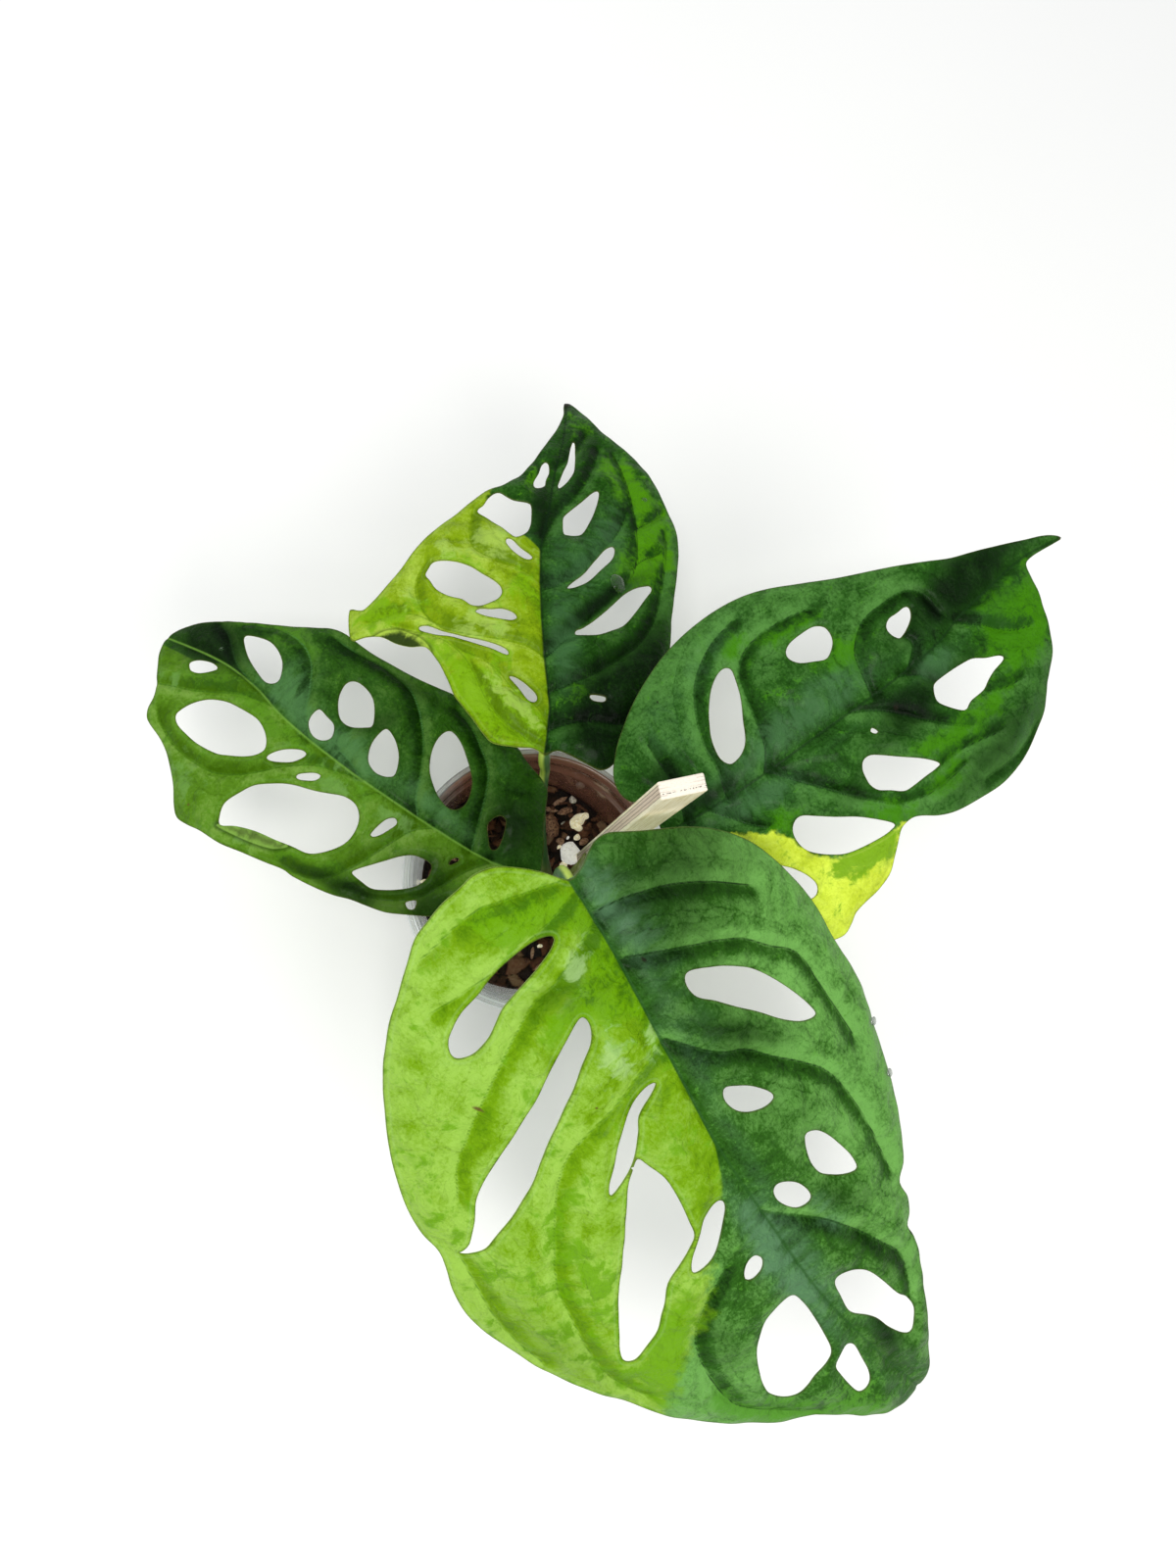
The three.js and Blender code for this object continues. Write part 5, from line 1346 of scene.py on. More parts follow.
BACK_LEAF = LeafShape(
    midrib=(
        (-20, 0), (0, 0.3), (15, 0.2), (30, 3), (45, 5.2), (60, 6.6), (72, 7), (88, 5.2), (105, 3.8),
        (125, 1), (147, 0),
    ),
    outline=(
        (1.5, 1), (2.4, 4), (1.8, 9), (1.6, 14), (2.6, 17.6), (5, 20.2), (9, 23.4), (13, 27), (17, 30.4),
        (22, 33.2), (28, 36.8), (33, 41), (33.3, 46), (35, 51), (37.8, 56), (38.2, 60.5), (37.4, 64.4),
        (41, 66.2), (48.6, 67), (48, 63.8), (48.7, 61.3), (56, 55.4), (62, 51.6), (68, 48.2), (72.5, 44.8),
        (77, 41), (82, 36.6), (88, 31.2), (92, 27.3), (94, 24.4), (95.6, 21.4), (98.5, 18.2), (101.5, 15.4),
        (108, 12), (115, 9), (122, 6.2), (128, 3.9), (134, 2.2), (140, 1), (145, 1), (147.6, 0.2),
        (146.4, -1.6), (143, -4.2), (138, -8), (133, -11.6), (130, -14.6), (127, -18.6), (123, -23),
        (118, -27.5), (112, -31.5), (106, -35.2), (100, -38.4), (93, -41), (85, -42), (75, -41.5),
        (65, -40.5), (55, -39.6), (45, -39.2), (35, -38), (25, -35.6), (15, -32.2), (7, -27.4), (1, -22.4),
        (-1.4, -20), (-2.2, -17.4), (-1.4, -14.4), (0.4, -10), (2, -6), (2.4, -3.4), (1.4, -1),
    ),
    holes=(
        ((17, 4.9), (17.6, 7), (20, 9.7), (22, 12), (24, 13.9), (24, 12), (22.3, 8.5), (20, 5.5),
         (18.2, 4.4)),
        ((31, 14.8), (31.2, 17), (32.5, 21), (34, 26), (36, 32), (37.4, 38), (38.8, 42.8), (40, 43.8),
         (40.4, 41.5), (39.5, 38), (38, 33.5), (36, 27), (34.5, 21), (32.8, 15.7)),
        ((42.5, 15), (42.4, 19), (43.2, 23.2), (44.6, 26.5), (45.6, 25.2), (45.5, 21.5), (46.2, 18),
         (45.4, 14.6), (43.8, 13.2)),
        ((46.7, 24.6), (47, 28), (49, 31.2), (50.5, 36), (52.5, 39.5), (56, 42), (58.5, 43.6), (61, 43),
         (63.2, 41.3), (62.6, 36), (61.5, 31.5), (58.5, 26), (55.5, 20.7), (53.4, 19), (51, 18.9),
         (48.8, 20.7)),
        ((65.8, 10.7), (66, 13), (68, 16.5), (70.4, 18.7), (72.3, 18.6), (72.2, 16.8), (70, 14), (68, 10.7),
         (66.8, 9.7)),
        ((73.6, 15.6), (74.6, 18), (77, 21), (80, 25), (83, 28.6), (84.8, 28.7), (86.4, 27.2), (89, 26),
         (91.4, 24), (92.2, 22), (90.8, 19.5), (89.6, 17), (89.3, 12.6), (88, 11.3), (84, 11), (80, 11.1),
         (76.2, 12.3)),
        ((96.5, 9.8), (97.6, 10.9), (100, 10.7), (104, 9.3), (108, 8.5), (110, 7.2), (109, 6.1), (105, 5.8),
         (101, 6.8), (98, 7.2)),
        ((98.1, 2), (99.2, 2.5), (102, 1.9), (107, 0.7), (112, -0.7), (119, -1.5), (123.3, -2.5),
         (121, -3.2), (113, -3.2), (107, -2.8), (103, -1.3), (100, 0.4)),
        ((77.7, -1), (78.7, -0.1), (82, 0.2), (85.5, 0), (89, -2.5), (94, -6.5), (98, -9.6), (99.2, -11.3),
         (97, -11.7), (91, -10.7), (84, -8.7), (79.2, -6.5), (77.8, -4)),
        ((57, -2.7), (58.2, -3), (61, -5.2), (65, -8.5), (70, -11.5), (75, -14.6), (76.8, -17), (75, -17.9),
         (71, -17), (66, -13.5), (61, -9.5), (58, -5.7)),
        ((40.5, -7.2), (41.3, -6.1), (42.6, -6.7), (44, -9), (50, -14.5), (55, -18.5), (60, -22.5),
         (64, -27.5), (66.3, -31.2), (64.4, -31.8), (58, -28.5), (50, -24), (46, -20), (42.5, -15),
         (41, -11)),
        ((19, -14), (19.7, -12.4), (20.7, -12.5), (21, -15), (20.9, -17.3), (20, -17.6), (19.2, -16.5)),
    ),
    petiole=(
        (6, -2.6, 74), (4.6, 3, 75.5), (3.2, 10, 79), (2.2, 18, 84), (1.6, 25.5, 90.5), (1.5, 31.5, 98),
        (1.1, 34.5, 106), (0, 35.6, 113),
    ),
    furrows=(
        ((2, 1), (6, 9), (10, 15), (17, 21), (25, 25.5), (31, 30), (36, 37), (39, 46), (41, 53)),
        ((11, 0.8), (16, 5), (20, 12), (25, 17), (29, 23), (32, 30)),
        ((32, 3.6), (35, 10), (36, 18), (37, 26), (39.5, 35), (43, 41), (49, 45), (56, 46.5), (63, 44.5)),
        ((58, 6.6), (62, 13), (64, 20), (66, 26), (69, 29.5), (76, 31), (83, 30.5)),
        ((41, 38), (44, 45), (45, 52), (43, 60)),
        ((8, 0), (11, -6), (13, -14), (13.5, -22), (16, -30)),
        ((20, 0.6), (24, -6), (28, -13), (34, -20), (40, -26), (48, -31), (57, -34), (66, -35.5), (78, -37),
         (90, -37)),
        ((32, 2.4), (38, -3), (44, -8), (50, -13), (58, -19), (66, -24), (74, -26), (86, -26), (98, -24),
         (110, -21), (120, -17.5)),
        ((55, 5.4), (58, 0), (62, -5), (68, -10), (76, -15), (84, -19), (92, -21.5)),
        ((76, 6), (88, 1), (96, -4), (104, -7.5), (113, -10), (121, -11.5)),
        ((70, -24), (76, -29), (80, -34)),
        ((88, -26), (93, -31), (99, -36)),
        ((108, 3), (114, -1), (120, -4), (128, -7)),
    ),
    lime=(
        ((-30, 0), (0, 0.4), (15, 0.3), (30, 3.1), (45, 5.4), (60, 6.8), (70, 7.3), (72, 9.5), (74, 12),
         (78, 18), (86, 24), (90, 26.4), (94, 24.6), (100, 30), (60, 90), (-10, 80), (-30, 20)),
    ),
    turned_over=(
        ((30.5, 39.5), (33.6, 40.6), (37, 45), (39.4, 49.5), (39.4, 54), (37.8, 58), (35, 57), (32, 52),
         (30.5, 46)),
    ),
    ripe=(
        ((37.5, 42), (34.5, 33.5), (26.5, 23.5), (20, 12), (15, 2), (10.5, -2), (0, 0), (0, 17), (12.5, 28),
         (25, 35)),
        ((50, 2), (56, 8), (62, 12), (60, 16), (52, 14), (46, 8), (40, 4)),
    ),
    fresh=(
        ((118.5, -13.5), (118, -20), (111.5, -25.5), (104, -30), (98.5, -38), (77.5, -38.5), (68.5, -34.5),
         (63, -25.5), (66, -20), (79.5, -24), (88.5, -25.5), (97, -22.5), (99, -18.5), (104.5, -14.5),
         (111.5, -12)),
    ),
    patches={
        Tone.APPLE: (Patch(46, 54, 5, 9, 0, 0.7), Patch(60, 40, 10, 4, -30, 0.6)),
        Tone.SHEEN: (
            Patch(16, 12, 13, 2.6, 52, 1.2), Patch(40, 24, 5, 10, 0, 0.9), Patch(71, 22, 6, 9, 0, 1),
            Patch(66, 38, 6, 5, -30, 0.7), Patch(50, 48, 5, 5, 0, 0.6), Patch(40, -3, 10, 5, 5, 1.1),
            Patch(27, -5, 8, 5, 30, 0.7), Patch(66, -8, 16, 12, 0, 0.8), Patch(84, -16, 12, 6, -10, 0.8),
        ),
        Tone.BRIGHT: (
            Patch(133, -5, 12, 6, 0, 0.5), Patch(100, 12, 8, 3, -20, 0.7), Patch(20, -8, 8, 4, -50, 0.5),
        ),
        Tone.DEEP: (
            Patch(14, -22, 20, 15, 0, 1.7), Patch(40, -32, 20, 7, -12, 1), Patch(55, -15, 22, 3, -45, 0.9),
            Patch(88, 8, 16, 5, 0, 0.9), Patch(122, -6, 14, 6, -10, 0.6),
        ),
        Tone.SCAR: (Patch(147, 0, 4, 2.4, 0, 0.9), Patch(17.6, 5.6, 1.2, 1.2, 0, 0.5)),
    },
    drops=((62.5, -19.5, 3), (101, -28.5, 1.1)),
    base=(-0.6, 36.1, 122), heading=83.6, pitch=-17.5, length=146.3,
    arch=12, droop=12, half_width=50, fold=2.5,
)
RIGHT_LEAF = LeafShape(
    midrib=(
        (-20, 0), (0, -0.4), (15, -2), (30, -3.3), (60, -3.8), (90, -4.2), (107, -3.2), (118, -0.6),
        (132, 1), (150, 2.2), (167, -0.4),
    ),
    outline=(
        (0.4, 0.8), (1, 3.5), (1.6, 6.8), (1.6, 10), (0.8, 12.6), (-1.2, 13.8), (-2.6, 16), (-3, 19),
        (-2.2, 22.6), (-0.5, 25.6), (2, 28.4), (6, 32), (11, 35.5), (16, 38.6), (22, 41.6), (28, 44),
        (34, 46), (40, 47.3), (47, 48.2), (55, 48.4), (63, 47.7), (70, 46), (77, 43), (84, 39), (91, 35),
        (100, 30.5), (110, 25.7), (119, 21), (127, 16.8), (133, 14.5), (140, 12), (147, 9.5), (155, 6.3),
        (160, 4.4), (164, 2.2), (166.8, -0.5), (163, -0.4), (158, 0.2), (153, 0.6), (149.8, 0.2),
        (148.6, -1.4), (147.8, -4.4), (146.5, -8.5), (144.8, -14), (143.4, -19), (141, -25), (138, -29.5),
        (134.5, -33), (131.6, -35.4), (129.3, -38.4), (125.8, -42.5), (120.5, -46.4), (114.5, -49.8),
        (106.4, -52.2), (98.2, -53.1), (90, -52.3), (82, -51), (76, -48.5), (71, -45), (67.5, -43.5),
        (63.4, -44), (61, -45.8), (58.8, -48.1), (56, -50.8), (51.8, -54.6), (46.4, -56.6), (41, -57.3),
        (36.4, -58.4), (33.4, -60.6), (29.2, -62.4), (23, -60.6), (16, -57.6), (9, -51), (3.5, -41.5),
        (-0.5, -31), (-2.6, -21), (-2.2, -12.5), (-0.6, -6.4), (0.4, -2.4),
    ),
    holes=(
        ((28.8, 8), (29.1, 11.5), (30.5, 16), (33, 20), (36, 24), (40, 28), (44, 30.5), (47.4, 31.1),
         (49, 29.6), (48.3, 26.5), (46, 21), (42, 14.5), (38.6, 9), (36, 6.5), (33, 5.3), (30.2, 5.4)),
        ((65.2, 21), (66, 23.5), (69, 25), (74, 25.2), (78, 24.7), (80.5, 22.5), (80.5, 19.5), (79, 16.7),
         (76, 14.5), (73.8, 14.2), (71, 15.6), (67, 18)),
        ((96, 9), (96.6, 11), (99, 12.4), (102.3, 12.3), (105.4, 12.4), (106.6, 11.3), (105.4, 8.8),
         (102.5, 6.8), (98.5, 5.3), (96.8, 6.5)),
        ((95.2, -18), (96, -15), (98.2, -12.9), (104, -12.7), (110, -13.2), (113.4, -14), (117, -16.3),
         (121, -18.1), (122.4, -19.5), (121.3, -20.4), (117, -21.2), (113.5, -22.6), (110.6, -24.2),
         (105, -24.5), (102.2, -25.7), (100.2, -24.8), (97, -21.2)),
        ((71.8, -12.9), (72.7, -12.1), (73.5, -13), (73.7, -14.4), (72.6, -14.2)),
        ((62, -24), (62.4, -21), (64.2, -18.8), (67, -18.7), (70, -20.8), (75, -25.2), (81, -30.2),
         (84.8, -34.5), (83, -35.1), (78, -35), (71.5, -35), (69, -34), (66.5, -31.8), (63.5, -29.5),
         (62.2, -27)),
        ((32.7, -26), (33.7, -23), (36, -21.1), (38.6, -21.3), (42, -24), (47, -28), (53, -32.3), (58, -37),
         (61.8, -41.5), (60, -42.4), (56, -42.4), (49, -41.3), (43, -39.5), (38, -36), (34.5, -32.5),
         (33, -29.5)),
        ((20, -25), (24.5, -30.5), (27, -33.5), (29.5, -38), (30.5, -42.2), (29, -45), (26.3, -45.2),
         (22.4, -42.6), (19.6, -36), (18.6, -29.5)),
    ),
    petiole=((6.3, -2.7, 62.5), (10.5, -1.4, 70.5), (18, 1.6, 88), (26, 5.2, 107), (31.4, 8.2, 119.5)),
    furrows=(
        ((8, -1), (11, 6), (12.5, 14), (13, 21), (13.5, 26)),
        ((23, -2.5), (26, 6), (27, 14), (30, 22), (35, 30), (41, 35.5), (50, 40), (60, 42)),
        ((37, -3.4), (42, 3), (45, 12), (47, 20), (50, 27), (56, 31.5), (64, 33), (74, 32), (80, 30.5)),
        ((79, -4), (81, 4), (83, 10), (87, 14), (93, 17), (101, 17.5), (109, 16.5), (113, 12), (114, 4)),
        ((94, -4), (100, 1), (99, 5)),
        ((16, -2.2), (20, -8), (24, -14), (28, -18)),
        ((38, -3.4), (45, -13), (52, -22), (57, -28), (62, -33), (68, -38), (80, -41), (92, -40)),
        ((70, -4), (78, -9), (84, -15), (88, -20), (94, -26), (100, -31)),
        ((90, -4.2), (96, -8), (98, -12)),
        ((84, -36), (92, -35), (100, -36.5), (108, -38.5)),
        ((96, -48), (108, -48.5), (116, -47), (121, -44)),
        ((116, -1.2), (124, -8), (130, -14), (137, -17)),
        ((112, -26), (118, -28), (124, -29)),
    ),
    lime=(
        ((-20, -5), (4, -7), (12, -9), (17, -11.5), (20, -15), (23, -17), (26, -20), (28, -20), (30, -22.5),
         (32, -25), (33, -30), (35, -34), (38.5, -37.5), (45, -40.3), (52, -41.8), (60, -42.6), (64, -42.8),
         (67, -44.5), (66, -52), (60, -62), (30, -75), (-20, -70)),
    ),
    ripe=(
        ((39, -38), (46.5, -39), (52.5, -41), (61, -39.5), (62, -46), (56, -50.5), (49.5, -49),
         (43.5, -48.5), (39.5, -45), (38, -41.5)),
    ),
    fresh=(
        ((150, 1), (150, -17.5), (139.5, -25), (131, -24.5), (121.5, -28.5), (114.5, -32.5), (107.5, -32),
         (101, -34.5), (93.5, -34.5), (87.5, -42.5), (81.5, -43.5), (78, -42), (83.5, -37.5), (89, -33.5),
         (78.5, -25), (86, -26), (96, -25.5), (103, -28), (110.5, -25.5), (119.5, -24), (123.5, -20.5),
         (115.5, -15.5), (120, -7), (125.5, -2), (138.5, -2)),
        ((79.5, 17.5), (88, 13.5), (84.5, 8), (78.5, 4.5), (72, 5), (71.5, 10.5), (71, 14), (75.5, 13.5)),
        ((64.5, 30.5), (74, 31), (81, 28.5), (77.5, 26.5), (72, 27.5), (67, 27)),
        ((56.5, 38.5), (58, 36), (54, 31), (51, 32), (52, 36)),
        ((28.5, -13), (33.5, -15.5), (36, -21), (33, -26), (29, -22)),
        ((57.5, -33.5), (64, -34), (70, -41), (62, -43), (57, -38)),
    ),
    patches={
        Tone.BRIGHT: (Patch(56, 14, 6, 5, 0, 0.35),),
        Tone.SHEEN: (
            Patch(50, 5, 26, 6, 4, 0.9), Patch(70, 5, 12, 6, 0, 0.7), Patch(30, -9, 16, 5, -20, 1.1),
            Patch(102, -8.5, 6, 4.5, 0, 1.5), Patch(20, 24, 8, 12, 0, 0.6), Patch(44, 38, 20, 6, 20, 0.5),
            Patch(118, -42, 14, 3, 30, 0.7),
        ),
        Tone.DEEP: (
            Patch(12, 14, 6, 7, 10, 0.9), Patch(20, 1, 12, 3, 0, 0.9), Patch(88, -14, 14, 8, 0, 1.1),
            Patch(126, 8, 30, 9, 5, 1.2), Patch(112, -14, 10, 5, 0, 0.5), Patch(108, -42, 34, 9, 12, 0.7),
            Patch(60, -24, 14, 5, 20, 0.5), Patch(24, -22, 10, 4, -60, 0.35),
        ),
        Tone.SCAR: (Patch(83, -11.5, 0.9, 1.1), Patch(50, -8, 0.5, 0.6), Patch(24, 35, 0.5, 0.6)),
    },
    base=(35, 10.6, 127.5), heading=35.8, pitch=6.9, size=0.975, length=166.1,
    arch=10, droop=12, half_width=50, fold=2.5,
)


# Pot, mix, stake and stem


@dataclass(frozen=True)
class ClearPlasticFinish:
    """Thin clear plastic: milky where it is seen edge on, with painted highlights on its ridges and painted
    dark lines beside them, and a brown film of damp mix inside.
    """

    tint: str = "E4E9EC"
    haze: str = "B4BCC4"
    film: str = "7A4630"
    groove: str = "4A464A"
    clear: float = 0.14
    hazy: float = 0.6

    def material(self, name: str) -> bpy.types.Material:
        """Builds the plastic."""
        graph = Graph(name)
        place = graph.place()
        facing = graph.node("ShaderNodeLayerWeight", {}, {"Blend": 0.35}, 1)
        scuff = graph.step(graph.noise(place, 7.0, 4, 0.7), 0.55, 0.8)
        streak = graph.noise(graph.place((100, 100, 12)), 2.2, 3)
        ridge, film = graph.number("ridge"), graph.number("film")
        filmed = graph.step(film + 0.6 * (streak - 0.5) * film, 0.1, 0.9)
        alpha = self.clear + (self.hazy - self.clear) * facing ** 1.5
        # Painted highlights on the ridges make them milky
        alpha = alpha + 0.1 * scuff + 0.5 * ridge + 0.8 * filmed
        colour = graph.mix(0.5 * streak + 0.3 * scuff, self.tint, self.haze)
        colour = graph.mix(filmed * 0.95, colour, self.film)
        # Painted dark lines beside the ridge highlights
        colour = graph.mix(graph.bell(ridge - 0.4, 0.2) * 0.7, colour, self.groove)
        return graph.finished({
            "Base Color": colour, "Alpha": alpha, "Roughness": 0.10 + 0.25 * scuff + 0.1 * filmed,
            "Normal": graph.bump(0.05 * streak + 0.03 * scuff), "IOR": 1.49, "Specular IOR Level": 0.7,
            "Coat Weight": 0.4, "Coat Roughness": 0.05,
        })


@dataclass
class ClearPot:
    """A thin clear nursery pot with a stepped, ridged rim and a floor with drain holes.

    Attributes:
        height: Its height.
        rim_radius: The outer radius of its rim.
        collar_radius: The outer radius of the upright collar below the rim.
        collar_height: How far down the collar reaches from the top.
        shoulder_radius: The outer radius of the tapering wall at its upper end.
        shoulder_drop: How far the shoulder between collar and wall falls.
        base_radius: The outer radius of the tapering wall at its foot.
        wall: The wall's thickness.
        floor: The height from which the foot's inside and the floor plate are measured.
        drain_count: Number of drain holes.
        drain_radius: Their radius.
        drain_ring: How far their middles are from the pot's.
        sides: Number of points round the wall.
        finish: The plastic.
    """

    height: float = 85
    rim_radius: float = 45
    collar_radius: float = 42.9
    collar_height: float = 11
    shoulder_radius: float = 41.2
    shoulder_drop: float = 2.2
    base_radius: float = 34
    wall: float = 1.2
    floor: float = 1.6
    drain_count: int = 6
    drain_radius: float = 2.6
    drain_ring: float = 21
    sides: int = 180
    finish: ClearPlasticFinish = ClearPlasticFinish()

    def radius_at(self, height: float | np.ndarray) -> float | np.ndarray:
        """Outer radius of the tapering wall."""
        top = self.height - self.collar_height - self.shoulder_drop
        return self.base_radius + (self.shoulder_radius - self.base_radius) * height / top

    def wall_ring(self) -> Surface:
        """Turns the wall's closed section: up the outside with fine hoops below the shoulder, over the rim,
        whose top carries two rounded ridges, and down the inside. Each point over the rim is a radius, a
        height and how strong the painted highlight on its ridge is.
        """
        top = self.height
        collar, shoulder = top - self.collar_height, top - self.collar_height - self.shoulder_drop
        below = np.linspace(1.2, shoulder, 64)
        hoop = 0.16 * np.sin(2 * math.pi * below / 9.5) ** 8
        outside = np.column_stack([self.radius_at(below) - hoop, below])
        outer, inner, rim = self.collar_radius, self.collar_radius - self.wall, self.rim_radius
        over = np.array([
            (outer - 0.5, collar, 0.6), (outer - 0.25, collar + 1, 0), (outer - 0.2, collar + 5, 0),
            (outer, top - 1.9, 0), (outer + 0.3, top - 1.6, 0.6), (rim - 0.5, top - 1.6, 0.3),
            (rim - 0.1, top - 1.3, 0.6), (rim, top - 0.8, 1), (rim - 0.15, top - 0.3, 1),
            (rim - 0.5, top - 0.02, 1), (rim - 0.85, top - 0.3, 0), (rim - 1.3, top - 0.4, 0),
            (rim - 1.7, top - 0.05, 0.9), (rim - 2.0, top, 1), (inner + 0.7, top - 0.05, 0.2),
            (inner + 0.3, top - 0.3, 0), (inner, top - 0.8, 0), (inner - 0.1, top - 2.3, 0),
            (inner - 0.4, top - 2.7, 0.8), (inner - 0.5, top - 3.1, 0.9), (inner - 0.4, top - 3.5, 0.2),
            (inner - 0.2, top - 3.9, 0), (inner - 0.3, top - 7, 0), (inner - 0.5, collar + 0.4, 0),
            (inner - 0.9, collar - 0.4, 0.8),
            (self.shoulder_radius - self.wall + 0.1, shoulder + 0.6, 0.2),
        ])
        down = np.linspace(shoulder, self.floor - 0.4, 24)
        inside = np.column_stack([self.radius_at(down) - self.wall, down])
        base = self.base_radius
        foot = np.array([
            (base - 2.4, self.floor - 0.4), (base - 2.4, 0.0), (base - 1.2, 0.0), (base - 0.35, 0.35),
        ])
        profile = np.vstack([outside, over[:, :2], inside, foot])
        ridge, film = np.zeros(len(profile)), np.zeros(len(profile))
        ridge[len(outside):][:len(over)] = over[:, 2]
        film[len(outside) + len(over):][:len(inside)] = np.clip((inside[:, 1] - 40) / 10, 0, 1)
        film[len(outside):][:len(over)] = np.where(over[:, 0] < inner + 1.4, 0.9, 0.5)
        ring, angle = turned(profile, self.sides), angles(self.sides)
        # Painted highlight: the ridges catch most light round the side that faces the lamps
        painted_ridge_light = 0.25 + 0.75 * np.sin((angle - math.radians(75)) / 2) ** 2
        stained = np.clip(0.45 + 1.2 * np.cos(angle - math.radians(60)), 0, 1)
        ring.numbers = {"ridge": np.outer(ridge, painted_ridge_light).ravel(), "film": np.outer(film, stained).ravel()}
        return ring

    def floor_plate(self) -> Surface:
        """A plate trimmed to a circle and its drain holes, which rises by 0.6 mm towards its middle."""
        rim = circle(96)
        centres = self.drain_ring * circle(self.drain_count)
        holes = [centre + self.drain_radius * rim[::4] for centre in centres]
        sheet = trimmed_sheet([(self.base_radius - 2.3) * rim, *holes], 0.9)
        dish = 0.6 * (1 - (np.hypot(*sheet.places.T) / self.base_radius) ** 2)
        top = np.column_stack([sheet.places, self.floor - 0.45 + dish])
        bottom = np.column_stack([sheet.places, dish])
        plate = shell(sheet, top, bottom)
        plate.numbers = {label: np.zeros(len(plate.points)) for label in ("ridge", "film")}
        return plate

    def build(self) -> None:
        """Adds the wall and the floor to the scene."""
        plastic = self.finish.material("pot_clear_plastic")
        add_piece("pot_wall", self.wall_ring(), plastic, "pot", "clear_plastic")
        add_piece("pot_floor", self.floor_plate(), plastic, "pot", "clear_plastic")


class Bit(Enum):
    """The kinds of bits in the potting mix, each with its two colours."""

    BARK = ("3A241A", "6B4630")
    PUMICE = ("F2EEE4", "FFFFFC")
    CREAM = ("E0D2A6", "FFF8DC")
    GRIT = ("A69E92", "E8E2D6")
    FIBRE = ("7A5844", "C09A80")
    SLAB = ("5A3E30", "B08468")


@dataclass(frozen=True)
class MixFinish:
    """Damp potting mix: dark crumbs and chips in many browns, with painted shade, black, in the crevices.
    """

    black: str = "120C09"
    brown: str = "3B261A"
    rust: str = "6A3F28"
    pale: str = "8E7257"

    def material(self, name: str) -> bpy.types.Material:
        """Builds the mix's material, which reads each chip's tone and the depth of the crevices."""
        graph = Graph(name)
        place = graph.place()
        tone, crevice = graph.number("tone"), graph.number("crevice")
        grain = graph.noise(graph.warped(place, 2.0, 0.3), 6.0, 6, 0.7)
        dust = graph.step(graph.noise(place, 22.0, 3), 0.6, 0.72)
        browns = self.black, self.brown, self.rust, self.pale
        colour = graph.ramp(tone + 0.5 * (grain - 0.5), browns, (0.0, 0.45, 0.8, 1.0))
        colour = graph.mix(dust * 0.35, colour, self.pale)
        # Painted shade: black in the crevices between the chips
        colour = graph.mix(graph.step(crevice, 0.55, 0.05), colour, self.black)
        return graph.finished({
            "Base Color": colour, "Roughness": 0.75 + 0.2 * grain,
            "Normal": graph.bump(0.9 * grain + 0.25 * dust), "Specular IOR Level": 0.3,
        })


@dataclass(frozen=True)
class BitFinish:
    """A rough stone or chip in two colours, with small pits and darker hollows. The pale porous stones
    glow weakly, a painted light that lifts them out of the shade of the leaves.
    """

    bit: Bit

    def material(self, name: str) -> bpy.types.Material:
        """Builds the bit's material."""
        graph = Graph(name)
        place = graph.place()
        grain = graph.noise(place, 14.0, 5, 0.65)
        pits = graph.step(graph.cells(place, 9.0, "F1"), 0.12, 0.4)
        low, high = self.bit.value
        # The pale stones glow, a painted light that lifts them out of the leaves' shade
        pale_stone = self.bit in (Bit.PUMICE, Bit.CREAM)
        colour = graph.mix(graph.step(grain, 0.35, 0.65), low, high)
        colour = graph.mix(0.45 * (1 - pits), colour, low)
        return graph.finished({
            "Base Color": colour, "Roughness": 0.85, "Normal": graph.bump(0.35 * pits + 0.4 * grain),
            "Specular IOR Level": 0.3, "Emission Color": colour, "Emission Strength": 0.3 * pale_stone,
        })


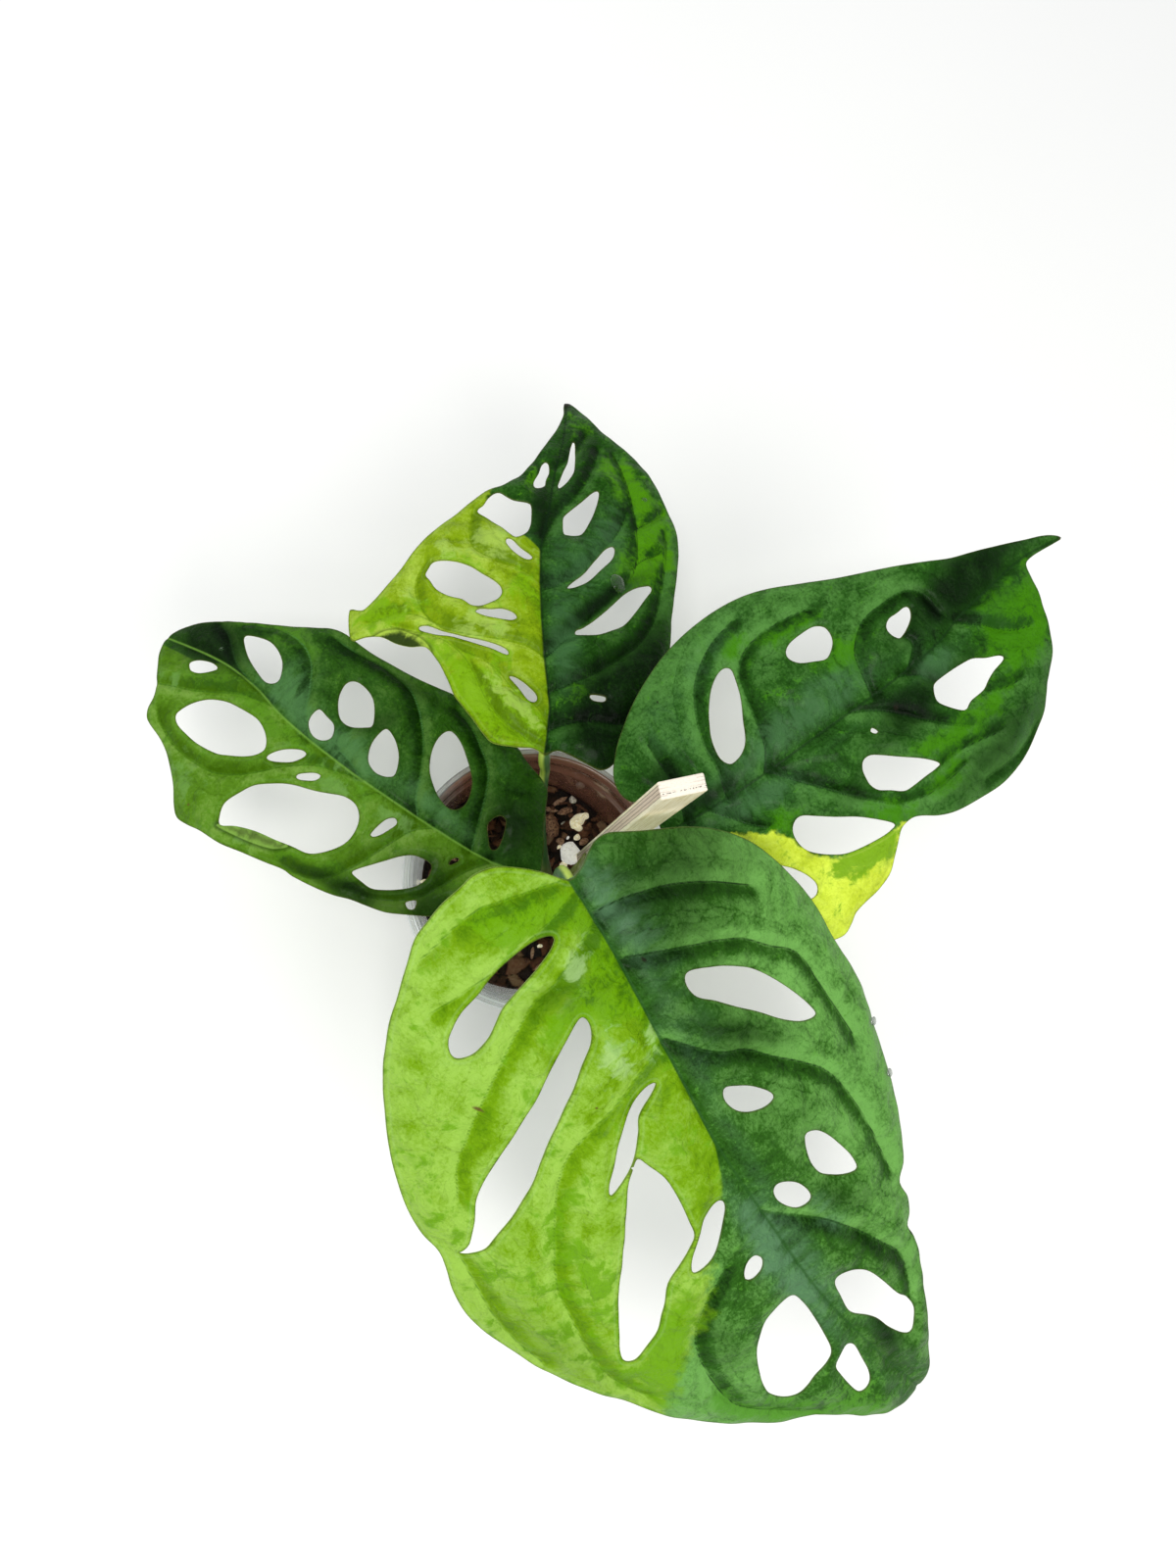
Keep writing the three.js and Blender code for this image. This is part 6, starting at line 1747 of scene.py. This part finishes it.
@dataclass
class PottingMix:
    """A chunky mix that fills the pot, with loose bits on top.

    Attributes:
        crown: The height of its top in the middle.
        edge: The height of its top at the wall.
        swell: How high the low swells of its top are.
        clearance: The gap between it and the wall.
        chips: Number of chips on its own body.
        chip_depth: How far a chip sinks at most.
        crevice_depth: How deep the crevices between the chips are.
        crevice_width: How fast a crevice ends.
        crumbs: Number of loose bits, shared out over their kinds.
        strewn_to: How far from the middle the loose bits lie.
        sides: Number of points in a ring of its own body.
        seed: Where its random draws start.
        pot: The pot that it fills.
        finish: The finish of its own body.
        stones: The larger bits, each with its name, its kind, its place, its half lengths and its turn
            about the vertical in degrees.
    """

    crown: float = 57
    edge: float = 54
    swell: float = 1.1
    clearance: float = 0.35
    chips: int = 900
    chip_depth: float = 1.6
    crevice_depth: float = 1.9
    crevice_width: float = 0.7
    crumbs: int = 190
    strewn_to: float = 38
    sides: int = 300
    seed: int = 11
    pot: ClearPot = field(default_factory=ClearPot)
    finish: MixFinish = MixFinish()
    stones: tuple[tuple[str, Bit, Point, Point, float], ...] = (
        ("mix_pumice", Bit.PUMICE, (15.6, 10.8, 58.8), (4.9, 4.2, 3.8), 20),
        ("mix_cream_pumice", Bit.CREAM, (18.8, 22.9, 57.5), (3.6, 2.3, 2.3), 40),
        ("mix_cream_lobe", Bit.CREAM, (21.3, 24.4, 58.0), (1.9, 1.8, 1.7), 0),
        ("mix_cream_lobe_low", Bit.CREAM, (19.0, 20.4, 57.4), (1.7, 1.5, 1.5), 0),
        ("mix_cream_ball", Bit.CREAM, (18.4, 16.8, 58.3), (1.3, 1.3, 1.2), 0),
        ("mix_cream_ball_low", Bit.CREAM, (13.4, 6.6, 58.2), (1.6, 1.5, 1.4), 0),
        ("mix_tan_bit", Bit.FIBRE, (20.9, 15.2, 57.6), (1.9, 1.5, 1.4), 30),
        ("mix_tan_bit_left", Bit.FIBRE, (12.3, 15.4, 57.4), (1.6, 1.4, 1.2), 0),
        ("mix_bark", Bit.SLAB, (9.6, 21.0, 57.8), (2.9, 5.6, 2.7), 8),
        ("mix_bark_across", Bit.SLAB, (14.9, 26.6, 56.6), (3.2, 1.2, 1.2), 15),
        ("mix_grit", Bit.GRIT, (17.4, 30.8, 56.7), (1.5, 1.7, 1.5), 0),
    )

    def top_at(self, x: np.ndarray, y: np.ndarray) -> np.ndarray:
        """Height of the top: crown at the middle, falling with the square of the radius to the edge, plus
        low swells.
        """
        out = np.hypot(x, y) / self.pot.radius_at(self.edge)
        swell = np.sin(0.31 * x + 1.2) * np.cos(0.27 * y) + 0.6 * np.sin(0.55 * y + 0.4 * x)
        return self.crown - (self.crown - self.edge) * out**2 + self.swell * swell * (1 - out**6)

    def plug(self) -> Surface:
        """Builds the mix's own body.

        A closed skin runs from the middle of the floor up the wall and over the top. Each of its points
        belongs to the nearest of the randomly strewn chips, and sinks inwards by crevice_depth times
        e^(-gap / crevice_width), where gap is how much farther the second nearest chip is, and by up to
        chip_depth that is the chip's own.

        Returns:
            The skin with each point's tone and how clear it is of a crevice.
        """
        random = np.random.default_rng(self.seed)
        floor = self.pot.floor + 0.6 + self.clearance
        inset = self.pot.wall + self.clearance
        foot, rim = (self.pot.radius_at(z) - inset for z in (floor, self.edge))
        up = np.column_stack([np.linspace(foot, rim, 78), np.linspace(floor + 0.8, self.edge, 78)])
        across = np.linspace(1, 0.01, 62)[1:, None] * [[rim, 0]] + [[0, self.edge]]
        base = np.linspace(0.02, 1, 14)[:, None] * [[foot - 0.8, 0]] + [[0, floor]]
        profile = np.vstack([base, up, across])
        x, y = (profile[:, 0][:, None] * turn for turn in circle(self.sides).T)
        z = np.repeat(profile[:, 1][:, None], self.sides, axis=1)
        on_top = np.arange(len(profile)) >= len(base) + len(up) - 1
        z[on_top] = self.top_at(x[on_top], y[on_top])
        points = np.stack([x, y, z], axis=-1).reshape(-1, 3)

        middles = points[random.integers(0, len(points), self.chips)]
        middles = middles + random.normal(0, 0.8, (self.chips, 3))
        stretch = np.array([1.0, 1.0, 1.25])
        first, second = np.full((2, len(points)), np.inf)
        owner = np.zeros(len(points), int)
        for number, middle in enumerate(middles):
            gap = np.linalg.norm((points - middle) * stretch, axis=1)
            closer = gap < first
            second = np.where(closer, first, np.minimum(second, gap))
            first = np.where(closer, gap, first)
            owner[closer] = number
        own_depth = random.uniform(0, self.chip_depth, self.chips)
        own_tone = random.uniform(0, 1, self.chips) ** 1.6
        crevice = np.exp(-(second - first) / self.crevice_width)
        depth = self.crevice_depth * crevice + own_depth[owner]
        depth += 0.25 * (1 + waves(points, 2.2, self.seed))
        on_top = np.repeat(on_top, self.sides)
        outward = points * [1, 1, 0] / np.maximum(np.hypot(*points[:, :2].T), 1)[:, None]
        depth = depth * (np.where(on_top, 1.0, 0.45) * (points[:, 2] > floor + 0.5))
        points -= np.where(on_top[:, None], [0, 0, 1.0], outward) * depth[:, None]
        skin = rolled(points.reshape(len(profile), self.sides, 3))
        skin.numbers = {
            "tone": np.append(own_tone[owner], [0.3, 0.3]), "crevice": np.append(1 - crevice, [1, 1]),
        }
        return skin

    def strewn(self, bit: Bit, share: float, seed: int) -> Surface:
        """Many small bits of one kind, strewn over the top and turned at random."""
        random = np.random.default_rng(seed)
        bits = []
        for number in range(round(share * self.crumbs)):
            out = self.strewn_to * math.sqrt(random.uniform())
            turn = random.uniform(0, 2 * math.pi)
            size = random.uniform(0.7, 2.0) + 1.2 * random.uniform() ** 4
            flat = (1.0, random.uniform(0.35, 0.8), random.uniform(0.25, 0.6))
            long = 1.9 if bit in (Bit.BARK, Bit.FIBRE) else 1.1
            radii = tuple(size * part * stretch for part, stretch in zip(flat, (long, 1, 1)))
            crumb = lump(radii, seed + 7 * number, 0.16, 4, 7)
            ways = np.linalg.qr(random.normal(size=(3, 3)) + 1.2 * np.eye(3))[0]
            x, y = out * math.cos(turn), out * math.sin(turn)
            at = np.array([x, y, self.top_at(np.array(x), np.array(y)) - 0.7 + 0.2 * size])
            if np.linalg.det(ways) < 0:
                ways[:, 0] *= -1
            crumb.points = crumb.points @ ways.T + at
            bits.append(crumb)
        return merged(bits)

    def build(self) -> None:
        """Adds the mix, its named stones and its loose bits to the scene."""
        crumbs = self.finish.material("mix_crumbs_brown")
        add_piece("mix_body", self.plug(), crumbs, "potting_mix", "potting_mix")
        finishes = {bit: BitFinish(bit).material(f"mix_{bit.name.lower()}") for bit in Bit}
        for number, (name, bit, at, radii, turn) in enumerate(self.stones):
            stone = lump(radii, 40 + number, 0.12, 16, 24)
            cos, sin = math.cos(math.radians(turn)), math.sin(math.radians(turn))
            ways = np.array([[cos, -sin, 0], [sin, cos, 0], [0, 0, 1]])
            stone.points = stone.points @ ways.T + np.array(at)
            add_piece(name, stone, finishes[bit], "potting_mix", "potting_mix")
        shares = {Bit.BARK: 0.62, Bit.FIBRE: 0.2, Bit.GRIT: 0.08, Bit.CREAM: 0.06, Bit.PUMICE: 0.04}
        for number, (bit, share) in enumerate(shares.items()):
            bits = self.strewn(bit, share, 500 + 100 * number)
            add_piece(f"mix_loose_{bit.name.lower()}", bits, finishes[bit], "potting_mix", "potting_mix")


@dataclass(frozen=True)
class PlywoodFinish:
    """Birch plywood: plies with dark glue lines on the narrow sides, long grain on the faces, end grain
    with a few voids on top.
    """

    birch: str = "FFF6D8"
    grain: str = "DCCB94"
    core: str = "D8BEAE"
    glue: str = "5C4032"
    end: str = "F4ECDC"
    void: str = "1E1712"

    def material(self, name: str) -> bpy.types.Material:
        """Builds the plywood, which reads how far through, across and along the bar a place is."""
        graph = Graph(name)
        through, along, across = (graph.number(label) for label in ("through", "along", "across"))

        def grained(scales: Point, size: float, detail: float) -> Shade:
            """Noise stretched along the bar by its own scale through, across and along it."""
            place = {0: through * scales[0], 1: across * scales[1], 2: along * scales[2]}
            return graph.noise(graph.node("ShaderNodeCombineXYZ", {}, place), size, detail, 0.68)

        grain = grained((1.3, 0.55, 0.02), 2.4, 5)
        long_grain = grained((0.5, 1.6, 0.03), 1.8, 6)
        pores = graph.step(grained((3.0, 3.0, 0.25), 2.0, 3), 0.58, 0.72)
        depth = abs(through + 0.2 * (grained((0, 0.2, 0.12), 1.0, 2) - 0.5))
        side, top = graph.number("side"), graph.number("top")
        glue = graph.bell(depth - 0.52, 0.13) + graph.bell(depth - 1.45, 0.13)
        face = graph.mix(graph.step(long_grain, 0.38, 0.66), self.birch, self.grain)
        core = graph.step(depth, 1.65, 1.3)
        plies = graph.mix(core * (0.45 + 0.5 * grain), self.birch, self.core)
        plies = graph.mix(graph.step(grain, 0.5, 0.72) * 0.4, plies, self.grain)
        plies = graph.mix(glue * 0.85, plies, self.glue)
        gaps = graph.step(grained((0.4, 0.9, 0), 1.7, 2), 0.47, 0.58)
        ends = graph.mix(graph.step(grain, 0.4, 0.7) * 0.4 + 0.4 * pores, self.end, self.core)
        ends = graph.mix(graph.bell(through + 1.05, 0.26) * gaps, ends, self.void)
        colour = graph.mix(0.35 * pores, graph.mix(side, face, plies), self.glue)
        colour = graph.mix(top, colour, ends)
        return graph.finished({
            "Base Color": colour, "Roughness": 0.72 + 0.15 * grain,
            "Normal": graph.bump(0.16 * long_grain + 0.12 * grain - 0.15 * glue * side - 0.1 * pores),
            "Specular IOR Level": 0.3,
        })


@dataclass
class Stake:
    """A plywood stake that leans a little, worn round along its edges."""

    top: Point = (24.6, 15.9, 199)
    lean: Point = (-0.004, -0.048)
    heading: float = 11.6
    width: float = 12.7
    thickness: float = 4.8
    corner: float = 0.55
    wear: float = 0.5
    sawn: float = 0.1
    bottom: float = 21
    finish: PlywoodFinish = PlywoodFinish()

    def section(self) -> tuple[np.ndarray, np.ndarray]:
        """Walks anticlockwise round the bar's section: four straight sides joined by quarter circles.

        Returns:
            Its points, x across the wide faces and y through the thickness, and 1 on the narrow sides.
        """
        half = np.array([self.width, self.thickness]) / 2
        arc = np.linspace(0, math.pi / 2, 6)[1:-1]
        points, narrow = [], []
        for quarter in range(4):
            reach, other = half if quarter % 2 == 0 else half[::-1]
            line = np.linspace(-1, 1, 24) * (other - self.corner)
            straight = np.column_stack([np.full(len(line), reach), line])
            bend = np.column_stack([
                reach - self.corner + self.corner * np.cos(arc),
                other - self.corner + self.corner * np.sin(arc),
            ])
            turn = np.array([(1, 0), (0, 1), (-1, 0), (0, -1)][quarter])
            points.append(np.vstack([straight, bend]) @ np.array([turn, [-turn[1], turn[0]]]))
            narrow.append(np.full(len(straight) + len(bend), 1.0 - quarter % 2))
        return np.vstack(points), np.concatenate(narrow)

    def bar(self) -> Surface:
        """Carries the section down from the top. At each depth it shifts by the lean times the depth, its
        narrow sides are roughened by random waves as high as sawn, and its top edge is worn round by wear.
        """
        section, narrow = self.section()
        length = self.top[2] - self.bottom
        worn = np.linspace(0, math.pi / 2, 6)[::-1]
        straight = np.linspace(1.2, length, 90)
        depth = np.concatenate([self.wear * (1 - np.sin(worn)), straight])[:, None]
        inset = np.concatenate([self.wear * (1 - np.cos(worn)), 0 * straight])[:, None]
        half = np.array([self.width, self.thickness]) / 2
        rows = section * (1 - inset[:, :, None] / half)
        down = np.repeat(depth[:, 0] * 0.5, len(section))
        spots = np.column_stack([down, np.tile(section, (len(depth), 1))])
        rough = waves(spots, 1.6, 5).reshape(len(depth), -1) - 1
        rows[..., 0] += self.sawn * rough * narrow * np.sign(rows[..., 0])
        angle = math.radians(self.heading)
        turn = np.array([[math.cos(angle), math.sin(angle)], [-math.sin(angle), math.cos(angle)]])
        place = rows @ turn + np.array(self.top[:2]) + depth[:, :, None] * np.array(self.lean)
        height = np.broadcast_to(self.top[2] - depth, rows.shape[:2])
        surface = rolled(np.concatenate([place, height[..., None]], axis=-1)[::-1])
        across, through = rows[::-1].reshape(-1, 2).T
        along = np.repeat(depth[::-1, 0], len(section))
        surface.numbers = {
            "through": np.append(through, [0, 0]), "across": np.append(across, [0, 0]),
            "along": np.append(along, [length, 0]), "side": np.append(np.tile(narrow, len(depth)), [0, 0]),
            "top": np.append(along < 0.3, [0, 1]).astype(float),
        }
        return surface

    def build(self) -> None:
        """Adds the stake to the scene."""
        add_piece("stake_bar", self.bar(), self.finish.material("stake_plywood"), "stake", "plywood")


@dataclass(frozen=True)
class StemFinish:
    """Green to brown vine skin with fine cork lines along it and pale specks."""

    green: str = "6E8A34"
    dark: str = "3F5A22"
    cork: str = "8A6B45"
    speck: str = "C8C29A"

    def material(self, name: str, corky: float) -> bpy.types.Material:
        """Builds the skin, browner where corky is high."""
        graph = Graph(name)
        streak = graph.noise(graph.place((160, 160, 30)), 1.8, 5, 0.65)
        patch = graph.noise(graph.place(), 1.4, 3)
        speck = graph.step(graph.cells(graph.place(), 7.0, "F1"), 0.3, 0.15)
        colour = graph.mix(graph.step(streak, 0.4, 0.65), self.green, self.dark)
        colour = graph.mix(graph.step(patch + (corky - 0.5), 0.45, 0.65), colour, self.cork)
        colour = graph.mix(speck * 0.4, colour, self.speck)
        return graph.finished({
            "Base Color": colour, "Roughness": 0.5 + 0.25 * streak,
            "Normal": graph.bump(0.3 * streak + 0.1 * speck),
        })


@dataclass
class VineStem:
    """The short stem with its swollen nodes, an aerial root and a furled new leaf."""

    path: Line = ((6.5, -3.5, 22), (6.8, -3.2, 45), (6.2, -2.6, 66), (5.2, -2.8, 90))
    radius: float = 3.3
    node_heights: Point = (60, 68, 77, 86)
    node_radius: float = 4.05
    node_width: float = 1.7
    scar_depth: float = 0.35
    tip_radius: float = 0.45
    furl_radius: float = 1.95
    root_radius: float = 0.9
    shoot: Line = ((5.2, -2.8, 89), (9.6, -0.6, 92), (12.4, 3.0, 99), (13.4, 6.6, 108))
    root: Line = ((6.2, -2.6, 74), (10.2, 2.2, 74), (12.9, 4.4, 68), (13.4, 4.4, 58), (13.0, 3.6, 46))
    finish: StemFinish = StemFinish()

    def vine(self) -> Surface:
        """A ring carried up the stem: its radius swells by a bell at each node, dips just above it where a
        leaf scar sits, and wavers by 3 in 100 round and along.
        """
        path = smooth_line(self.path, 40)
        height, sides = path[:, 2], 32
        radius = np.full(len(path), self.radius)
        for node in self.node_heights:
            radius += (self.node_radius - self.radius) * bell(height - node, self.node_width)
            radius -= self.scar_depth * bell(height - node - 2.6, 0.5)
        radius *= np.sqrt(np.clip((path[-1, 2] + 0.6 - height) / 3, 0.05, 1))
        around = np.stack(np.broadcast_arrays(*3 * circle(sides).T, height[:, None] / 3), axis=-1)
        waver = 1 + 0.03 * waves(around.reshape(-1, 3), 3, 8).reshape(len(path), sides)
        return swept(path, radius[:, None] * waver, sides, (1, 0, 0))

    def furled_leaf(self) -> Surface:
        """A rolled leaf: its section is a spiral whose radius steps in by 18 in 100 after one turn, and it
        tapers with the square of the way to its tip.
        """
        path = smooth_line(self.shoot, 14)
        t = np.linspace(0, 1, len(path))[:, None]
        sides = 28
        angle = np.arange(sides) / sides
        spiral = 1 - 0.18 * ((angle[None, :] + 0.15 * t) % 1.0)
        radius = self.furl_radius * (1 - t**2) + self.tip_radius * t**2
        radius = radius * spiral * (1 + 0.25 * np.sin(math.pi * t) ** 2)
        return swept(path, radius, sides, (1, -0.5, -0.3))

    def aerial_root(self) -> Surface:
        """A thin root that wavers in thickness and ends in the mix."""
        path = smooth_line(self.root, 14)
        path += 0.18 * np.column_stack([waves(path, 7, 3 + axis) for axis in range(3)])
        radius = self.root_radius * (1 + 0.14 * waves(path, 3.5, 9))
        return swept(path, radius, 14, (1, 1, 0.2))

    def build(self) -> None:
        """Adds the vine, the furled leaf and the root to the scene."""
        skin = self.finish.material("stem_skin_green", 0.45)
        furled = PetioleFinish("8E8A20", "4E5E14", "6A6A20").material("furled_leaf_skin")
        bare = self.finish.material("root_skin", 0.9)
        add_piece("stem_vine", self.vine(), skin, "stem", "stem_skin")
        add_piece("stem_furled_leaf", self.furled_leaf(), furled, "stem", "stem_skin")
        add_piece("stem_aerial_root", self.aerial_root(), bare, "stem", "stem_skin")


def water_drop_material() -> bpy.types.Material:
    """A clear bead that gleams, tinted green, with painted shade that darkens it towards its edge."""
    graph = Graph("water")
    facing = graph.node("ShaderNodeLayerWeight", {}, {"Blend": 0.5}, 1)
    # Painted shade: darker towards the bead's edge
    colour = graph.mix(facing, "3E6A2C", "0A2406")
    return graph.finished({
        "Base Color": colour, "Alpha": 0.15 + 0.75 * facing, "Roughness": 0.05, "Specular IOR Level": 0.5,
        "Coat Weight": 1.0, "Coat IOR": 1.9, "Coat Roughness": 0.04,
    })


# Studio


@dataclass
class Studio:
    """A plain pale floor, soft lights and the camera.

    Attributes:
        eye: The camera's place, in millimetres.
        right: Its picture's right, in the object's own frame.
        up: Its picture's up.
        lens: Its focal length for a 36 mm long side.
    """

    eye: Point = (-48.385, -26.301, 499.651)
    right: Point = (0.98744, -0.02224, 0.15642)
    up: Point = (0.0, 0.99004, 0.14078)
    lens: float = 28.125

    def camera(self) -> None:
        """Puts the camera where the photograph was taken from."""
        data = bpy.data.cameras.new("camera")
        data.lens, data.sensor_width = self.lens, 36
        data.clip_start, data.clip_end = 0.01, 20
        view = bpy.data.objects.new("camera", data)
        right, up = np.array(self.right), np.array(self.up)
        axes = np.column_stack([right, up, np.cross(right, up)])
        eye = Matrix.Translation(np.array(self.eye) * MM)
        view.matrix_world = eye @ Matrix(axes.tolist()).to_4x4()
        bpy.context.scene.collection.objects.link(view)
        bpy.context.scene.camera = view

    def floor(self) -> None:
        """Lays a wide pale floor just under the pot."""
        half = 3000
        points = np.array([(-half, -half, 0), (half, -half, 0), (half, half, 0), (-half, half, 0)], float)
        mesh = bpy.data.meshes.new("floor")
        mesh.from_pydata((points * MM - [0, 0, 0.0003]).tolist(), [], [(0, 1, 2, 3)])
        graph = Graph("floor_pale")
        mottle = graph.noise(graph.place(), 0.05, 2)
        colour = graph.mix(mottle, "F4F4F2", "F8F8F7")
        finish = {"Base Color": colour, "Roughness": 0.9, "Specular IOR Level": 0.1}
        mesh.materials.append(graph.finished(finish))
        floor = bpy.data.objects.new("floor", mesh)
        bpy.context.scene.collection.objects.link(floor)

    def lamp(self, name: str, at: Point, size: float, watts: float, tint: Point) -> None:
        """Hangs a square soft light in metres that faces the plant."""
        data = bpy.data.lights.new(name, "AREA")
        data.size, data.energy, data.color = size, watts, tint
        lamp = bpy.data.objects.new(name, data)
        away = np.array(at) - (0, 0, 0.1)
        away /= np.linalg.norm(away)
        right = np.cross((0.0, 1.0, 0.2), away)
        right /= np.linalg.norm(right)
        axes = np.column_stack([right, np.cross(away, right), away])
        lamp.matrix_world = Matrix.Translation(at) @ Matrix(axes.tolist()).to_4x4()
        bpy.context.scene.collection.objects.link(lamp)

    def build(self) -> None:
        """Sets up the floor, the lights, the pale surroundings and the camera."""
        self.floor()
        self.lamp("front_softbox", (0.25, -0.7, 1.3), 0.7, 7, (1.0, 0.98, 0.95))
        self.lamp("overhead_fill", (-0.175, -0.137, 1.28), 0.35, 6, (1.0, 0.99, 0.97))
        self.lamp("back_window", (-0.7, 0.75, 0.95), 0.8, 2.5, (0.94, 0.97, 1.0))
        world = bpy.data.worlds.new("pale_surroundings")
        world.use_nodes = True
        sky = world.node_tree.nodes["Background"].inputs
        sky["Color"].default_value, sky["Strength"].default_value = (0.96, 0.98, 1.0, 1), 0.58
        bpy.context.scene.world = world
        bpy.context.scene.view_settings.view_transform = "Standard"
        self.camera()


def leaves() -> list[Leaf]:
    """The four leaves with their finishes."""
    half_moon = LeafFinish(
        dark=("0C2E00", "2C5C14", "6AA24C"), lime=("4E7A00", "6E9A08", "92BC48"), apple="629800",
        bright="4E8A26", sheen="5C8660", light_sheen="AACC86", rib="24501A", vein_and_shade="10300C", crease="3E6E04",
        under=("6F9468", "A9C86A"), curl="6F9468", border_blur=2.2, outward=0.4,
    )
    fresh = LeafFinish(
        dark=("062200", "1A4604", "44762E"), lime=("5E7E00", "7E9E08", "A4C244"), apple="70A200",
        bright="4A8800", sheen="3E683C", light_sheen="AAC860", rib="0A240A", vein_and_shade="041C04", crease="527600",
        under=("4A5E20", "B4C850"), curl="2E4010", border_jag=1.5, outward=0.2,
    )
    mid = LeafFinish(
        dark=("0A2A00", "28520E", "4E762E"), lime=("3A6000", "527E16", "789E42"), apple="4E8010",
        bright="46781A", sheen="4E7C46", light_sheen="6E9A4C", rib="6E9C3A", vein_and_shade="467440", crease="2E560A",
        under=("6F8C4E", "A3B878"), curl="56702E", border_jag=0.8, rib_width=0.6, outward=-0.05,
    )
    deep = LeafFinish(
        dark=("082600", "225010", "50843A"), lime=("8C9E30", "BCD030", "DCF050"), apple="5C9600",
        bright="3C7C00", sheen="446E42", light_sheen="D0DE72", rib="12300E", vein_and_shade="0E2C0C", crease="4C7C00",
        under=("7A9A62", "D8E08A"), curl="7A9A62", border_jag=1.2, outward=0.3,
    )
    two_green = PetioleFinish("A6BE4A", "2F5A22", "8A7A4A")
    green = PetioleFinish("7FA040", "3F6A2A", "8A7A4A")
    return [
        Leaf("leaf_front", "leaf_half_moon", FRONT_LEAF, half_moon, two_green, seed=1),
        Leaf("leaf_left", "leaf_left_green", LEFT_LEAF, mid, green, step=0.6, puff=1.7, seed=21),
        Leaf("leaf_back", "leaf_half_moon", BACK_LEAF, fresh, two_green, step=0.6, seed=41),
        Leaf("leaf_right", "leaf_dark_green", RIGHT_LEAF, deep, green, seed=61),
    ]


def main() -> None:
    """Builds the vine, its pot and the studio."""
    pot = ClearPot()
    pot.build()
    PottingMix(pot=pot).build()
    Stake().build()
    VineStem().build()
    water = water_drop_material()
    for leaf in leaves():
        leaf.build(water)
    Studio().build()


if __name__ == "__main__":
    logging.basicConfig(level=logging.INFO, format="%(name)s: %(message)s")
    main()
